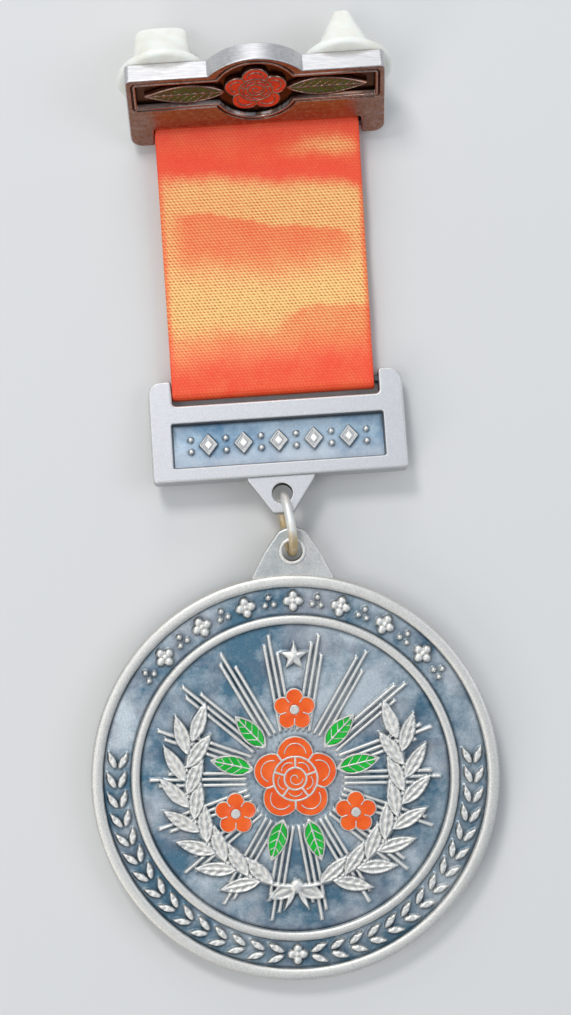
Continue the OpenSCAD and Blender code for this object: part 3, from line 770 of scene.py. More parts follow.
def put(name: str, data: bpy.types.ID) -> bpy.types.Object:
    """A new object in the scene, at the origin."""
    thing = bpy.data.objects.new(name, data)
    bpy.context.scene.collection.objects.link(thing)
    return thing


def make(name: str, skins: Sequence[Skin], place: Array, finish: Finish,
         nodes: Sequence[str]) -> bpy.types.Object:
    """Joins surfaces into one object at the origin, in metres, and hides the CAD nodes that it replaces.

    Args:
        name: the piece's name.
        skins: its surfaces, in the piece's own frame, in millimetres.
        place: the matrix that carries them to their place.
        finish: its finish, which knows the record's material slot.
        nodes: the CAD nodes that it replaces.

    Returns:
        The object, riding on the body.
    """
    points = placed(place, np.vstack([s.points for s in skins])) * MM
    starts = np.cumsum([0] + [len(s.points) for s in skins])
    order = -1 if np.linalg.det(place[:3, :3]) < 0 else 1
    faces = [face for s, start in zip(skins, starts) for face in (s.faces[:, ::order] + start).tolist()]
    mesh = bpy.data.meshes.new(name)
    mesh.from_pydata(points.tolist(), [], faces)
    mesh.polygons.foreach_set("use_smooth", [s.smooth for s in skins for _ in s.faces])
    tones = {"raised", "nook", "worn"} if isinstance(finish, AntiqueSilver) else set()
    for key in sorted(tones | {k for s in skins for k in s.values}):
        rest = 1.0 if key == "raised" else 0.0
        data = np.concatenate([s.values.get(key, np.full(len(s.points), rest)) for s in skins])
        mesh.attributes.new(key, "FLOAT", "POINT").data.foreach_set("value", data.astype(np.float32))
    if skins[0].uv is not None:
        uv, corners = np.vstack([s.uv for s in skins]), np.zeros(len(mesh.loops), np.int32)
        mesh.loops.foreach_get("vertex_index", corners)
        mesh.uv_layers.new(name="UVMap").data.foreach_set("uv", uv[corners].astype(np.float32).reshape(-1))
    shell = bmesh.new()
    shell.from_mesh(mesh)
    bmesh.ops.remove_doubles(shell, verts=shell.verts, dist=MERGE)
    bmesh.ops.dissolve_degenerate(shell, edges=shell.edges, dist=MERGE / 10)
    shell.to_mesh(mesh)
    shell.free()
    mesh.update()
    mesh.materials.append(finish.material)
    piece = put(name, mesh)
    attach(piece, "root")
    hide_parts(*nodes)
    log.info("%s: %d faces", name, len(mesh.polygons))
    return piece


# ---- enamelled flowers and leaves ----

@dataclass
class Cells:
    """Sizes of the enamel work that roses, blossoms and leaves share."""

    line: float = 0.3
    flower_h: float = 0.65
    low: float = 0.06
    deep: float = 0.41
    pool: float = 0.05
    tuck: float = 0.05
    rim_drop: float = 0.12
    sunk: float = 0.1
    tone: float = 1.0

    def ridge(self, d: Array, half: float) -> Array:
        """Height share of a metal line, by the distance from its middle: flat, then a steep side."""
        return ease((1.45 - d / half) / 0.75)

    def height(self, lines: Array, inside: Array) -> Array:
        """Height of the metal over the ground: the lines', less a drop at the rim, 0 to 1 inside it."""
        return self.flower_h - self.deep * (1 - lines) - self.rim_drop * (1 - inside)

    def tones(self, lines: Array) -> Dict[str, Array]:
        """The metal's attributes, from the lines' height share."""
        return {"raised": lines * self.tone, "worn": np.clip(lines - 0.3, 0, 1) * 0.6 * self.tone}


@dataclass
class Rose:
    """A rose in enamel: five outer petals, five inner ones and a heart, between metal lines."""

    r: float
    at: Point
    ground: float
    columns: int = 480
    rows: int = 70
    cells: Cells = field(default_factory=Cells)
    petals: int = 5
    petal_out: float = 0.57
    petal_round: float = 0.43
    ring_share: float = 0.52
    heart_share: float = 0.26
    curl: float = 0.09

    def __post_init__(self) -> None:
        """Works out the radii and the enamel's edges."""
        self.lobe_at, self.lobe_r = self.r * self.petal_out, self.r * self.petal_round
        self.ring, self.heart = self.r * self.ring_share, self.r * self.heart_share
        self.step = 360 / self.petals
        self.side = self.cells.line / 2 - self.cells.tuck
        self.low = self.ground + self.cells.low

    def lobe_edge(self, off: Array, grow: float = 0.0) -> Array:
        """Distance from the rose's middle to a petal's edge, off degrees from the petal's axis.

        A circle of radius q at distance p gives p cos off + root(q^2 - p^2 sin^2 off).
        """
        x, y = polar(self.lobe_at, off)
        return x + np.sqrt(np.maximum((self.lobe_r + grow) ** 2 - y ** 2, 1e-9))

    def off_axis(self, angle: Array, turn: float = 0.0) -> Array:
        """Degrees from the nearest petal's axis, or from axes turned by a share of the step."""
        return (angle - 90 + self.step * (0.5 - turn)) % self.step - self.step / 2

    def outside(self, x: Array, y: Array) -> Array:
        """How far points lie outside the outline, measured from the middle."""
        dx, dy = x - self.at[0], y - self.at[1]
        return np.hypot(dx, dy) - self.lobe_edge(self.off_axis(np.degrees(np.arctan2(dy, dx))))

    def seam(self, rho: Array, off: Array) -> Array:
        """Distance from the straight line between two petals."""
        return rho * np.abs(sind(self.step / 2 - np.abs(off)))

    def rim(self, rho: Array, off: Array, start: float) -> Array:
        """Distance in from a petal's round edge, beyond a distance from the middle."""
        x, y = polar(rho, off)
        return np.where(rho > start, np.maximum(self.lobe_r - np.hypot(x - self.lobe_at, y), 0), FAR)

    def lines(self, rho: Array, angle: Array) -> Array:
        """Height share of the metal lines, at distances and angles from the middle."""
        off, off_in = self.off_axis(angle), self.off_axis(angle, 0.5)
        ring, heart = self.ring, self.heart
        (x, y), (x_in, y_in) = polar(rho, off), polar(rho, off_in)
        x = x - self.lobe_at
        sides = np.where(rho > ring, self.seam(rho, off), FAR)
        inner = np.where((rho < ring) & (rho > heart), self.seam(rho, off_in), FAR)
        bold = np.minimum.reduce([self.rim(rho, off, ring), sides, inner,
                                  np.abs(rho - ring), np.abs(rho - heart)])
        # Fine curls: an arc in each outer petal, one in each inner petal and a spiral in the heart.
        fold = np.where((rho > ring * 1.22) & (np.abs(off) < 27),
                        np.abs(np.hypot(x, y * 1.05) - 0.62 * self.lobe_r), FAR)
        fold_in = np.where((rho > heart * 1.25) & (rho < ring * 0.88) & (np.abs(off_in) < 26),
                           np.abs(np.hypot(x_in - 0.9 * heart, y_in) - 0.72 * heart), FAR)
        spiral = np.where(rho < heart * 0.8, np.abs(rho - heart * (0.18 + 0.5 * ((angle / 360) % 1))), FAR)
        fine = np.minimum.reduce([fold, fold_in, spiral])
        return np.maximum(self.cells.ridge(bold, self.cells.line / 2), self.cells.ridge(fine, self.curl))

    def metal(self) -> List[Skin]:
        """The cast metal: a point at share s of the way to the outline, round all angles; a skirt closes it."""
        angle = np.linspace(0, 360, self.columns, endpoint=False)
        edge, share = self.lobe_edge(self.off_axis(angle)), np.linspace(0, 1, self.rows)[:, None]
        rho = share * edge
        lines = self.lines(rho, angle)
        z = self.cells.height(lines, ease((1 - share) * edge / 0.14))
        skirt, even = edge + 0.05, np.ones(self.columns)
        rho = np.vstack([rho, skirt, skirt, 0 * skirt])
        z = np.vstack([z, np.outer([self.cells.flower_h - 0.22, -self.cells.sunk, -self.cells.sunk], even)])
        lines = np.vstack([lines, np.outer([0.5, 0, 0], even)])
        x, y = polar(rho, angle)
        points = np.stack([x + self.at[0], y + self.at[1], self.ground + z], -1)
        return [grid(points, wrap_cols=True, flip=True, **self.cells.tones(lines))]

    def pool(self, rho: Array, angle: Array, u: Array, v: Array) -> Array:
        """Points of an enamel surface, u and v from -1 to 1: its middle is sunk by the pool's depth."""
        x, y = polar(rho, angle)
        z = self.ground + self.cells.flower_h - self.cells.low - self.cells.pool * (1 - u * u) * (1 - v * v)
        return np.stack([x + self.at[0], y + self.at[1], z], -1)

    def wedge(self, axis: float, inner: float, outer: Optional[float] = None, half: int = 16) -> List[Skin]:
        """One cell between two rings, or a ring and the outline, and two straight sides.

        u runs across and v outwards. The angle off the axis is u (36 - asin(side / rho)), so the
        sides keep clear of the lines by the same width all the way out.
        """
        u, v = np.meshgrid(np.linspace(-1, 1, 2 * half + 1), np.linspace(-1, 1, half + 1))
        # The angle and rho depend on each other, so each round brings them closer to their values.
        off = u * 30
        for _ in range(4):
            far = self.lobe_edge(off, -self.side) if outer is None else outer
            rho = inner + (v + 1) / 2 * (far - inner)
            off = u * (self.step / 2 - np.degrees(np.arcsin(np.clip(self.side / rho, 0, 1))))
        points = self.pool(rho, axis + off, u, v)
        return [grid(points, flip=True), *closed_below(points, self.low, flip=True)]

    def enamel(self) -> List[Skin]:
        """The petals and the heart."""
        out = []
        for turn, inner, outer in ((0, self.ring + self.side, None),
                                   (0.5, self.heart + self.side, self.ring - self.side)):
            for k in range(self.petals):
                out += self.wedge(90 + self.step * (k + turn), inner, outer)
        angle, share = np.meshgrid(np.linspace(0, 360, 40, endpoint=False), np.linspace(0, 1, 10))
        top = self.pool(share * (self.heart - self.side), angle, share, 0 * share)
        return out + [grid(lowered(top, self.low), wrap_cols=True, flip=True)]


@dataclass
class Blossom(Rose):
    """A small flower: five lobes of one enamel round a metal bead, parted by short lines."""

    columns: int = 240
    rows: int = 34

    def lines(self, rho: Array, angle: Array) -> Array:
        """Rim, bead and the short lines between the lobes."""
        off = self.off_axis(angle)
        rim = self.cells.ridge(self.rim(rho, off, self.lobe_at * 0.8), self.cells.line / 2)
        part = self.cells.ridge(np.where(rho > self.lobe_at * 0.72, self.seam(rho, off), FAR), self.curl)
        return np.maximum.reduce([rim, part, ease((self.heart - rho) / 0.18 + 0.3)])

    def enamel(self) -> List[Skin]:
        """One ring of enamel from the bead to the lobes' edges."""
        angle, v = np.meshgrid(np.linspace(0, 360, 160, endpoint=False), np.linspace(-1, 1, 14))
        inner = self.heart - self.cells.tuck
        rho = inner + (v + 1) / 2 * (self.lobe_edge(self.off_axis(angle), -self.side) - inner)
        top = self.pool(rho, angle, 0 * v, v)
        return [grid(lowered(top, self.low), wrap_rows=True, wrap_cols=True, flip=True)]


@dataclass
class EnamelLeaf:
    """A pointed leaf in enamel with a metal rim, midrib and slanting veins."""

    length: float
    width: float
    at: Point
    angle: float
    ground: float
    veins: int = 4
    cells: Cells = field(default_factory=Cells)
    rib: float = 0.1

    def spread(self, grow: float, rows: int, cols: int) -> Tuple[Array, ...]:
        """Points over the leaf grown by a margin: x along it, y = v times the half width there, u, v and it."""
        u, v = np.meshgrid(0.5 - 0.5 * np.cos(np.pi * np.linspace(0.0, 1.0, cols)), np.linspace(-1, 1, rows))
        half = leaf_half(self.width + 2 * grow, u)
        return (self.length + 4 * grow) * u - 2 * grow, v * half, u, v, half

    def set_down(self, x: Array, y: Array, z: Array) -> Array:
        """Turns the leaf's own points to its place."""
        c, s = polar(1, self.angle)
        return np.stack([self.at[0] + c * x - s * y, self.at[1] + s * x + c * y, self.ground + z], -1)

    def metal(self) -> List[Skin]:
        """The cast leaf, and a skirt round it down to the ground."""
        grow = self.cells.line / 2
        long = self.length + 4 * grow
        x, y, u, _, half = self.spread(grow, 33, int(long / 0.09))
        rim = np.minimum((half - np.abs(y)) * 0.9, np.minimum(u, 1 - u) * long * 0.45)
        pitch = long / (self.veins + 1)
        phase = (x - np.abs(y)) % pitch
        slant = np.where((u > 0.08) & (u < 0.92), np.minimum(phase, pitch - phase) * 0.7, FAR)
        lines = np.maximum.reduce([self.cells.ridge(d, wide) for d, wide in (
            (rim, self.cells.line * 0.75), (np.abs(y), self.rib), (slant, self.rib * 0.8))])
        points = self.set_down(x, y, self.cells.height(lines, ease(rim / 0.1)))
        return [grid(points, **self.cells.tones(lines)),
                *closed_below(points, self.ground - self.cells.sunk, raised=0.6 * self.cells.tone)]

    def enamel(self) -> List[Skin]:
        """The enamel in the leaf, sunk a little between rim and rib."""
        x, y, u, v, _ = self.spread(self.cells.tuck - self.cells.line / 2, 17, 41)
        z = self.cells.flower_h - self.cells.low - self.cells.pool * (1 - v * v) * np.sin(np.pi * u)
        points = self.set_down(x, y, z)
        return [grid(points), *closed_below(points, self.ground + self.cells.low)]


def gathered(parts: Sequence[Union[Rose, EnamelLeaf]]) -> Tuple[List[Skin], List[Skin]]:
    """The metal of some flowers or leaves, and their enamel."""
    return [s for p in parts for s in p.metal()], [s for p in parts for s in p.enamel()]


# ---- the medal ----

THIRDS = (90.0, 210.0, 330.0)


@dataclass
class Medal:
    """The cast medal: a sunk field and band between mouldings, relief, enamel flowers and a lug."""

    r: float = LAYOUT.medal_r
    t: float = LAYOUT.medal_t
    field_depth: float = 0.9
    rim_w: float = 1.45
    band_w: float = 3.45
    inner_ring_w: float = 1.1
    inner_ring_drop: float = 0.12
    moulding_top: float = LAYOUT.moulding_top
    moulding_square: float = 0.72
    edge: float = LAYOUT.edge
    ray_h: float = 0.35
    relief_h: float = 0.6
    flower_h: float = 0.65
    rose_r: float = 5.2
    blossom_r: float = 2.6
    blossom_gap: float = 0.7
    green_l: float = 4.9
    green_w: float = 2.2
    green_splay: float = 17.0
    green_gap: float = 0.3
    ray_w: float = 0.5
    ray_pitch: float = 0.72
    ray_n: int = 18
    ray_margin: float = 1.1
    wreath_in: float = 5.6
    wreath_from: float = -78.0
    wreath_to: float = 20.0
    leaf_pairs: int = 7
    leaf_l: float = 5.4
    leaf_w: float = 1.95
    leaf_turn: float = 30.0
    stem_w: float = 0.55
    star_r: float = 2.0
    motif_pitch: float = 15.4
    bead_r: float = 0.37
    lobed_r: float = 1.3
    band_leaf_l: float = 2.5
    band_leaf_w: float = 1.0
    band_leaf_turn: float = 24.0
    band_leaf_n: int = 15
    band_leaf_span: float = 96.0
    hole_up: float = LAYOUT.hole_up
    hole_d: float = 2.5
    lug_w: float = 10.0
    lug_h: float = 5.8
    lug_t: float = 1.8
    collar_w: float = 0.45
    collar_h: float = 0.2

    def __post_init__(self) -> None:
        """Works out the radii that follow from the sizes, and sets out the flowers and green leaves."""
        self.ground = self.t - self.field_depth
        self.band_r = self.r - self.rim_w
        self.ring_r = self.band_r - self.band_w
        self.field_r = self.ring_r - self.inner_ring_w
        self.band_mid = (self.band_r + self.ring_r) / 2
        self.stem_r = self.field_r - self.wreath_in
        self.rose = Rose(self.rose_r, (0.0, 0.0), self.ground)
        out = self.rose_r + self.blossom_gap + self.blossom_r
        self.blossoms = [Blossom(self.blossom_r, polar(out, angle), self.ground) for angle in THIRDS]
        turns = [third + 60 + side * self.green_splay for third in THIRDS for side in (-1, 1)]
        self.leaves = [EnamelLeaf(self.green_l, self.green_w, polar(self.rose_r + self.green_gap, angle), angle,
                                  self.ground) for angle in turns]

    def rays(self, relief: Relief) -> None:
        """Eighteen rays of three bars each, whose outer bars are shorter by a share of the radius."""
        start = self.rose_r + self.blossom_gap
        for k in range(self.ray_n):
            angle = 90 + 360 * (k + 0.5) / self.ray_n
            for step, short in ((-1, 0.12), (0, 0.0), (1, 0.06)):
                long = self.field_r * (1 - short) - self.ray_margin - start
                at = np.add(polar(start, angle), polar(step * self.ray_pitch, angle + 90))
                relief.stamp(at, angle, long + 1, bar, long, self.ray_w, self.ray_h)

    def wreath(self, relief: Relief) -> None:
        """Two branches that rise from a bow, with leaves in pairs along each stem."""
        step = (self.wreath_to - self.wreath_from) / self.leaf_pairs
        for start, stop in ((self.wreath_from - step, self.wreath_to), (180 - self.wreath_to, 180),
                            (-180, step - self.wreath_from - 180)):
            relief.stem(self.stem_r, self.stem_w, self.relief_h, start, stop)
        spots = [(self.wreath_from + step * (k + (0.5 if side > 0 else 0)), 90 - side * self.leaf_turn)
                 for k in range(self.leaf_pairs) for side in (-1, 1)]
        for angle, turn in spots + [(self.wreath_to, 90.0)]:
            for place, run in ((angle, angle + turn), (180 - angle, 180 - angle - turn)):
                relief.stamp(polar(self.stem_r, place), run, self.leaf_l + 0.2, leaf,
                             self.leaf_l, self.leaf_w, self.relief_h, under=0.45)

    def bow_and_star(self, relief: Relief) -> None:
        """A bow below, where the branches meet, and a five-pointed star above."""
        knot = (0.0, -self.stem_r)
        for turn, long, wide in ((112, 0.72, 1), (152, 0.66, 0.45)):
            for angle in (90 - turn, 90 + turn):
                relief.stamp(knot, angle, self.leaf_l, bow_loop,
                             self.leaf_l * long, self.leaf_w * wide, self.flower_h)
        relief.stamp(knot, 0, 2, bead, 1.1 * self.stem_w + self.bead_r, self.flower_h)
        top = (0, self.stem_r + 0.8 * self.star_r)
        relief.stamp(top, 90, self.star_r + 0.2, star, self.star_r, self.flower_h)

    def band(self, relief: Relief) -> None:
        """Flowers and groups of three beads above; leaf pairs that part from a flower below."""
        flowers = [90 + self.motif_pitch * (k - 3) for k in range(7)] + [270]
        trios = [90 + self.motif_pitch * (k - 3.5) for k in range(8)]
        for spots, turns, out, r in ((flowers, (0, 90, 180, 270), self.lobed_r * 0.55, self.lobed_r * 0.45),
                                     (trios, THIRDS, self.bead_r * 1.7, self.bead_r)):
            for angle in spots:
                for turn in turns:
                    at = np.add(polar(self.band_mid, angle), polar(out, angle - 90 + turn))
                    relief.stamp(at, 0, 1, bead, r, self.relief_h)
        for angle in flowers:
            relief.stamp(polar(self.band_mid, angle), 0, 1, bead, self.lobed_r * 0.3, self.relief_h * 1.05)
        for side in (-1, 1):
            for k in range(1, self.band_leaf_n + 1):
                angle = -90 + side * self.band_leaf_span * (k - 0.35) / self.band_leaf_n
                for row in (-1, 1):
                    at = polar(self.band_mid + row * self.band_leaf_w * 0.2, angle)
                    relief.stamp(at, angle + side * (90 - row * self.band_leaf_turn), self.band_leaf_l + 0.2,
                                 leaf, self.band_leaf_l, self.band_leaf_w, self.relief_h, 3)

    def field_skin(self) -> Skin:
        """The sunk field, as heights over rings of points from under the rose to the inner ring."""
        under_rose = [0, 2.5, 3.6, 4.2, 4.7, 5.1, 5.5]
        radii = np.concatenate([under_rose, np.linspace(5.7, self.field_r + 0.02, 88)])[:, None]
        x, y = polar(radii, np.linspace(0, 360, 1000, endpoint=False))
        relief = Relief(x, y)
        for draw in (self.rays, self.wreath, self.bow_and_star):
            draw(relief)
        values = patina(relief.h, self.relief_h)
        shadows = [0.75 * (1 - ease((self.field_r - radii) / 0.5)) + 0 * x]
        shadows += [0.7 * (1 - ease(flower.outside(x, y) / 0.45)) * (relief.h < 0.15)
                    for flower in (self.rose, *self.blossoms)]
        values["nook"] = np.maximum.reduce([values["nook"], *shadows])
        points = lowered(np.stack([x, y, self.ground + relief.h], -1), self.ground - 0.03)
        values = {key: np.vstack([value, value[-1:], value[-1:]]) for key, value in values.items()}
        return grid(points, wrap_cols=True, flip=True, **values)

    def moulding(self, r_out: float, width: float, top: float) -> List[Point]:
        """Rows of a moulding from its inner foot to its outer one, as (radius, height).

        Its section is half a superellipse: across = cos(a)^q and up = sin(a)^q with the signs kept.
        """
        c, s = polar(1, np.linspace(180, 0, 15))
        radii = r_out - width / 2 + width / 2 * np.sign(c) * np.abs(c) ** self.moulding_square
        return list(zip(radii, top - self.moulding_top * (1 - np.maximum(s, 0) ** self.moulding_square)))

    def border_skin(self) -> Skin:
        """The body: a hidden floor, inner ring, band with its relief, rim, edge and plain back."""
        under, floor = self.ground - 0.02, np.linspace(self.ring_r, self.band_r, 28)
        inner = [(0.0, under), (self.field_r, under)]
        inner += self.moulding(self.ring_r, self.inner_ring_w, self.t - self.inner_ring_drop)
        rows = inner + [(r, self.ground) for r in floor] + self.moulding(self.r, self.rim_w, self.t)
        rows += [(self.r, self.edge + 0.04), (self.r, self.edge)]
        rows += [(self.r - self.edge * (1 - cosd(a)), self.edge * (1 - sind(a))) for a in (22, 45, 67, 90)]
        rows += [(self.r * share, 0.0) for share in (0.96, 0.48, 0.0)]
        radii, heights = np.array(rows).T[:, :, None]
        x, y = polar(radii, np.linspace(0, 360, 1200, endpoint=False))
        z = heights + 0 * x
        span = slice(len(inner), len(inner) + len(floor))
        relief = Relief(x[span], y[span])
        self.band(relief)
        z[span] += relief.h

        # Away from the band the tops are bare, crests are worn, and the feet inside the rim are dark.
        foot = (heights < self.t - 0.5) & (radii < self.r - 0.01)
        values = {"raised": np.where(foot, np.clip((heights - self.ground) / 0.35, 0.1, 1), 1.0) + 0 * x,
                  "worn": 0.5 * (heights > self.t - 0.25) + 0 * x, "nook": 0 * x}
        for key, value in patina(relief.h, self.relief_h).items():
            values[key][span] = value
        wall = np.minimum(floor - self.ring_r, self.band_r - floor)[:, None]
        shadow = 0.85 * (1 - ease(wall / 0.45)) * (relief.h < 0.25)
        values["nook"][span] = np.maximum(values["nook"][span], shadow)
        return grid(np.stack([x, y, z], -1), wrap_cols=True, flip=True, **values)

    def lug_skins(self) -> List[Skin]:
        """The lug with slightly full sides, and the round collar on its hole."""
        at, half, shoulder = (0.0, self.r + self.hole_up), self.lug_w / 2, self.r - self.edge
        tip = circle(at, self.lug_h - self.hole_up, 13, 52, 128)
        full = ((half + tip[0][0]) / 2 + 0.2, (shoulder + tip[0][1]) / 2 + 0.12, 3.0)
        outline = rounded(mirrored([(half, self.r - 1.0, 0), (half, shoulder, 0.4), full],
                                   [(x, y, 0) for x, y in tip]))
        back, hole_r = (self.t - self.lug_t) / 2, self.hole_d / 2
        plate = Plate(outline, back, back + self.lug_t, 0.26, [circle(at, hole_r)[::-1]], front_tone=0.7)
        low, high = back - self.collar_h, back + self.lug_t + self.collar_h
        inner, outer = hole_r - 0.02, hole_r + self.collar_w
        section = rounded([(inner, low, 0.1), (outer, low, 0.2), (outer, high, 0.2), (inner, high, 0.1)], 4)
        r, z = section.T[:, :, None]
        x, y = polar(r, np.linspace(0, 360, 64, endpoint=False))
        points = np.stack([at[0] + x, at[1] + y, z + 0 * x], -1)
        worn, bore = 0.8 * ease((z - high + 0.25) / 0.2), (r < inner + 0.04) & (z < high - 0.12)
        collar = grid(points, wrap_rows=True, wrap_cols=True, flip=True, worn=worn, nook=0.9 * bore)
        return plate.skins() + [collar]

    def build(self, silver: Finish, red: Finish, green: Finish) -> None:
        """Makes the medal's pieces.

        Args:
            silver: finish of the metal.
            red: enamel of the flowers.
            green: enamel of the leaves.
        """
        petals = [f"rose_{ring}_petal_{k}" for ring in ("outer", "inner") for k in range(1, 6)]
        blossom_metal, blossom_enamel = gathered(self.blossoms)
        leaf_metal, leaf_enamel = gathered(self.leaves)
        for name, skins, finish, nodes in (
                ("medal_field", [self.field_skin()], silver, ["medal"]),
                ("medal_border", [self.border_skin()], silver, ["medal"]),
                ("medal_lug_piece", self.lug_skins(), silver, ["medal"]),
                ("rose_metal", self.rose.metal(), silver, ["medal"]),
                ("rose_enamel", self.rose.enamel(), red, ["rose_heart", *petals]),
                ("blossom_metal", blossom_metal, silver, ["medal"]),
                ("blossom_enamel", blossom_enamel, red, [f"blossom_{k}" for k in (1, 2, 3)]),
                ("leaf_metal", leaf_metal, silver, ["medal"]),
                ("leaf_enamel", leaf_enamel, green, [f"green_leaf_{k}" for k in range(1, 7)])):
            make(name, skins, LAYOUT.medal, finish, nodes)


# ---- the bars ----

@dataclass
class Bar:
    """Sizes that both bars share: the plate and the slot with the rail that the ribbon goes round."""

    w: float = 31.2
    t: float = LAYOUT.bar_t
    ear_r: float = 1.6
    corner_r: float = 0.6
    tip_r: float = 0.35
    slot_l: float = 25.4
    slot_h: float = 1.5
    slot_r: float = 0.5
    panel_depth: float = 0.7
    soft: float = 0.26
    # Share of painted shade on the slot's walls and on the rail.
    slot_painted_shade: float = 0.85

    def __post_init__(self) -> None:
        """Works out the rail's middle, the slot's reach from the bar's edge, and the panel's floor."""
        self.rail_in = LAYOUT.rail_back + LAYOUT.rail_h / 2
        self.slot_end = LAYOUT.rail_back + LAYOUT.rail_h + self.slot_h
        self.floor = self.t - self.panel_depth

    def rail(self, y: float) -> List[Skin]:
        """The rail: a small rounded bar whose middle is at y, with painted shade all over it where it sits in
        the slot.
        """
        half, long = LAYOUT.rail_h / 2, self.slot_l / 2 + 0.2
        middle, deep = self.t / 2 + LAYOUT.rail_forward, LAYOUT.rail_t / 2
        outline = rounded(mirrored([(long, y - half, 0.1), (long, y + half, 0.1)]))
        skins = Plate(outline, middle - deep, middle + deep, 0.2).skins()
        for skin in skins:
            skin.values = {"nook": np.full(len(skin.points), self.slot_painted_shade)}
        return skins

    def shade_slot(self, skins: List[Skin], start: float, end: float) -> List[Skin]:
        """Paints shade on the walls inside the slot, between two heights on the bar."""
        for skin in skins:
            if "nook" in skin.values:
                x, y, z = skin.points.T
                inside = (np.abs(x) < self.slot_l / 2 + 0.02) & (y > start - 0.02) & (y < end + 0.02)
                deep = inside & (z < self.t - self.soft * 0.5) & (z > self.soft * 0.5)
                skin.values["nook"] = np.where(deep, self.slot_painted_shade, skin.values["nook"])
        return skins


@dataclass
class LowerBar(Bar):
    """The lower bar: a frame round a sunk panel with lozenges and beads, and a lug below."""

    h: float = LAYOUT.lower_bar_h
    panel_w: float = 26.1
    panel_h: float = 5.7
    panel_margin: float = 1.6
    relief_h: float = 0.6
    lozenge_n: int = 5
    lozenge_w: float = 2.5
    lozenge_h: float = 3.0
    lozenge_pitch: float = 4.3
    bead_r: float = 0.37
    lug_w: float = 8.2
    lug_tip_w: float = 2.4
    lug_h: float = 4.5
    hole_d: float = 2.5
    lug_t: float = 1.8
    draft: float = 0.22

    def frame_skins(self) -> List[Skin]:
        """The plate with its two ears, and the panel's walls, which lean out as they rise."""
        x, slot, deep = self.w / 2, self.slot_l / 2, self.h - self.slot_end
        outline = rounded(mirrored([(x, 0, self.corner_r), (x, self.h, self.ear_r), (slot, self.h, self.tip_r),
                                    (slot, deep, self.slot_r)]))
        half, low = self.panel_w / 2, self.panel_margin
        rim = rounded(mirrored([(half, low, 0.3), (half, low + self.panel_h, 0.3)]))[::-1]
        steps = ((-self.draft, self.floor - 0.03), (-self.draft, self.floor), (-0.06, self.t - 0.12),
                 (-0.02, self.t - 0.05), (0.04, self.t - 0.01), (0.1, self.t))
        plate = Plate(outline, 0, self.t, self.soft, pockets=[[(inset(rim, d), z) for d, z in steps]])
        return self.shade_slot(plate.skins(), deep, self.h)

    def panel_skins(self) -> List[Skin]:
        """The panel's ground with its lozenges and beads, as heights over a grid."""
        over = self.draft - 0.02
        half, low = self.panel_w / 2 - over, self.panel_margin + over
        high = self.panel_margin + self.panel_h - over
        x, y = np.meshgrid(np.linspace(-half, half, 330), np.linspace(low, high, 72))
        relief, middle = Relief(x, y), self.panel_margin + self.panel_h / 2
        for k in range(self.lozenge_n):
            at = ((k - (self.lozenge_n - 1) / 2) * self.lozenge_pitch, middle)
            relief.stamp(at, 0, 2, lozenge, self.lozenge_w, self.lozenge_h, self.relief_h)
        for k in range(self.lozenge_n + 1):
            for up in (-self.lozenge_h / 4, self.lozenge_h / 4):
                at = ((k - self.lozenge_n / 2) * self.lozenge_pitch, middle + up)
                relief.stamp(at, 0, 1, bead, self.bead_r, self.relief_h)
        # Painted shade gathers along the walls and towards the upper one, and thins near the lower one, where
        # painted light lightens the ground.
        values = patina(relief.h, self.relief_h, 4, False)
        wall, rise = np.minimum.reduce([half - np.abs(x), y - low, high - y]), (y - low) / (high - low)
        shadow = (0.1 + 0.7 * ease(rise * 1.4 - 0.4)) * (1 - ease(wall / 0.8)) * (relief.h < 0.2)
        upper = 0.38 * ease(rise * 1.6 - 0.7) * (relief.h < 0.05)
        values["nook"] = np.maximum.reduce([values["nook"], shadow, upper])
        values["worn"] = np.maximum(values["worn"], 0.7 * ease(relief.h / self.relief_h * 2 - 0.9))
        # Painted light: the ground is lighter towards the lower wall.
        values["raised"] = np.maximum(values["raised"], 0.5 * (1 - ease(rise * 1.6)))
        points = np.stack([x, y, self.floor + relief.h], -1)
        return [grid(points, **values), *closed_below(points, self.floor - 0.02)]

    def lug_skins(self) -> List[Skin]:
        """The three-sided lug with its hole."""
        half, tip = self.lug_w / 2, self.lug_tip_w / 2
        outline = rounded(mirrored([(half, -0.3, 0.3), (half, 0.6, 0)])
                          + [(-tip, -self.lug_h, 0.6), (tip, -self.lug_h, 0.6)])
        back, hole = (self.t - self.lug_t) / 2, circle((0, -LAYOUT.hole_down), self.hole_d / 2)[::-1]
        return Plate(outline, back, back + self.lug_t, 0.14, [hole]).skins()

    def build(self, silver: Finish) -> None:
        """Makes the bar's pieces in one finish."""
        skins = self.frame_skins() + self.lug_skins() + self.rail(self.h - self.rail_in)
        make("lower_bar_frame", skins, LAYOUT.lower_bar, silver, ["lower_bar"])
        make("lower_bar_panel", self.panel_skins(), LAYOUT.lower_bar, silver, ["lower_bar"])


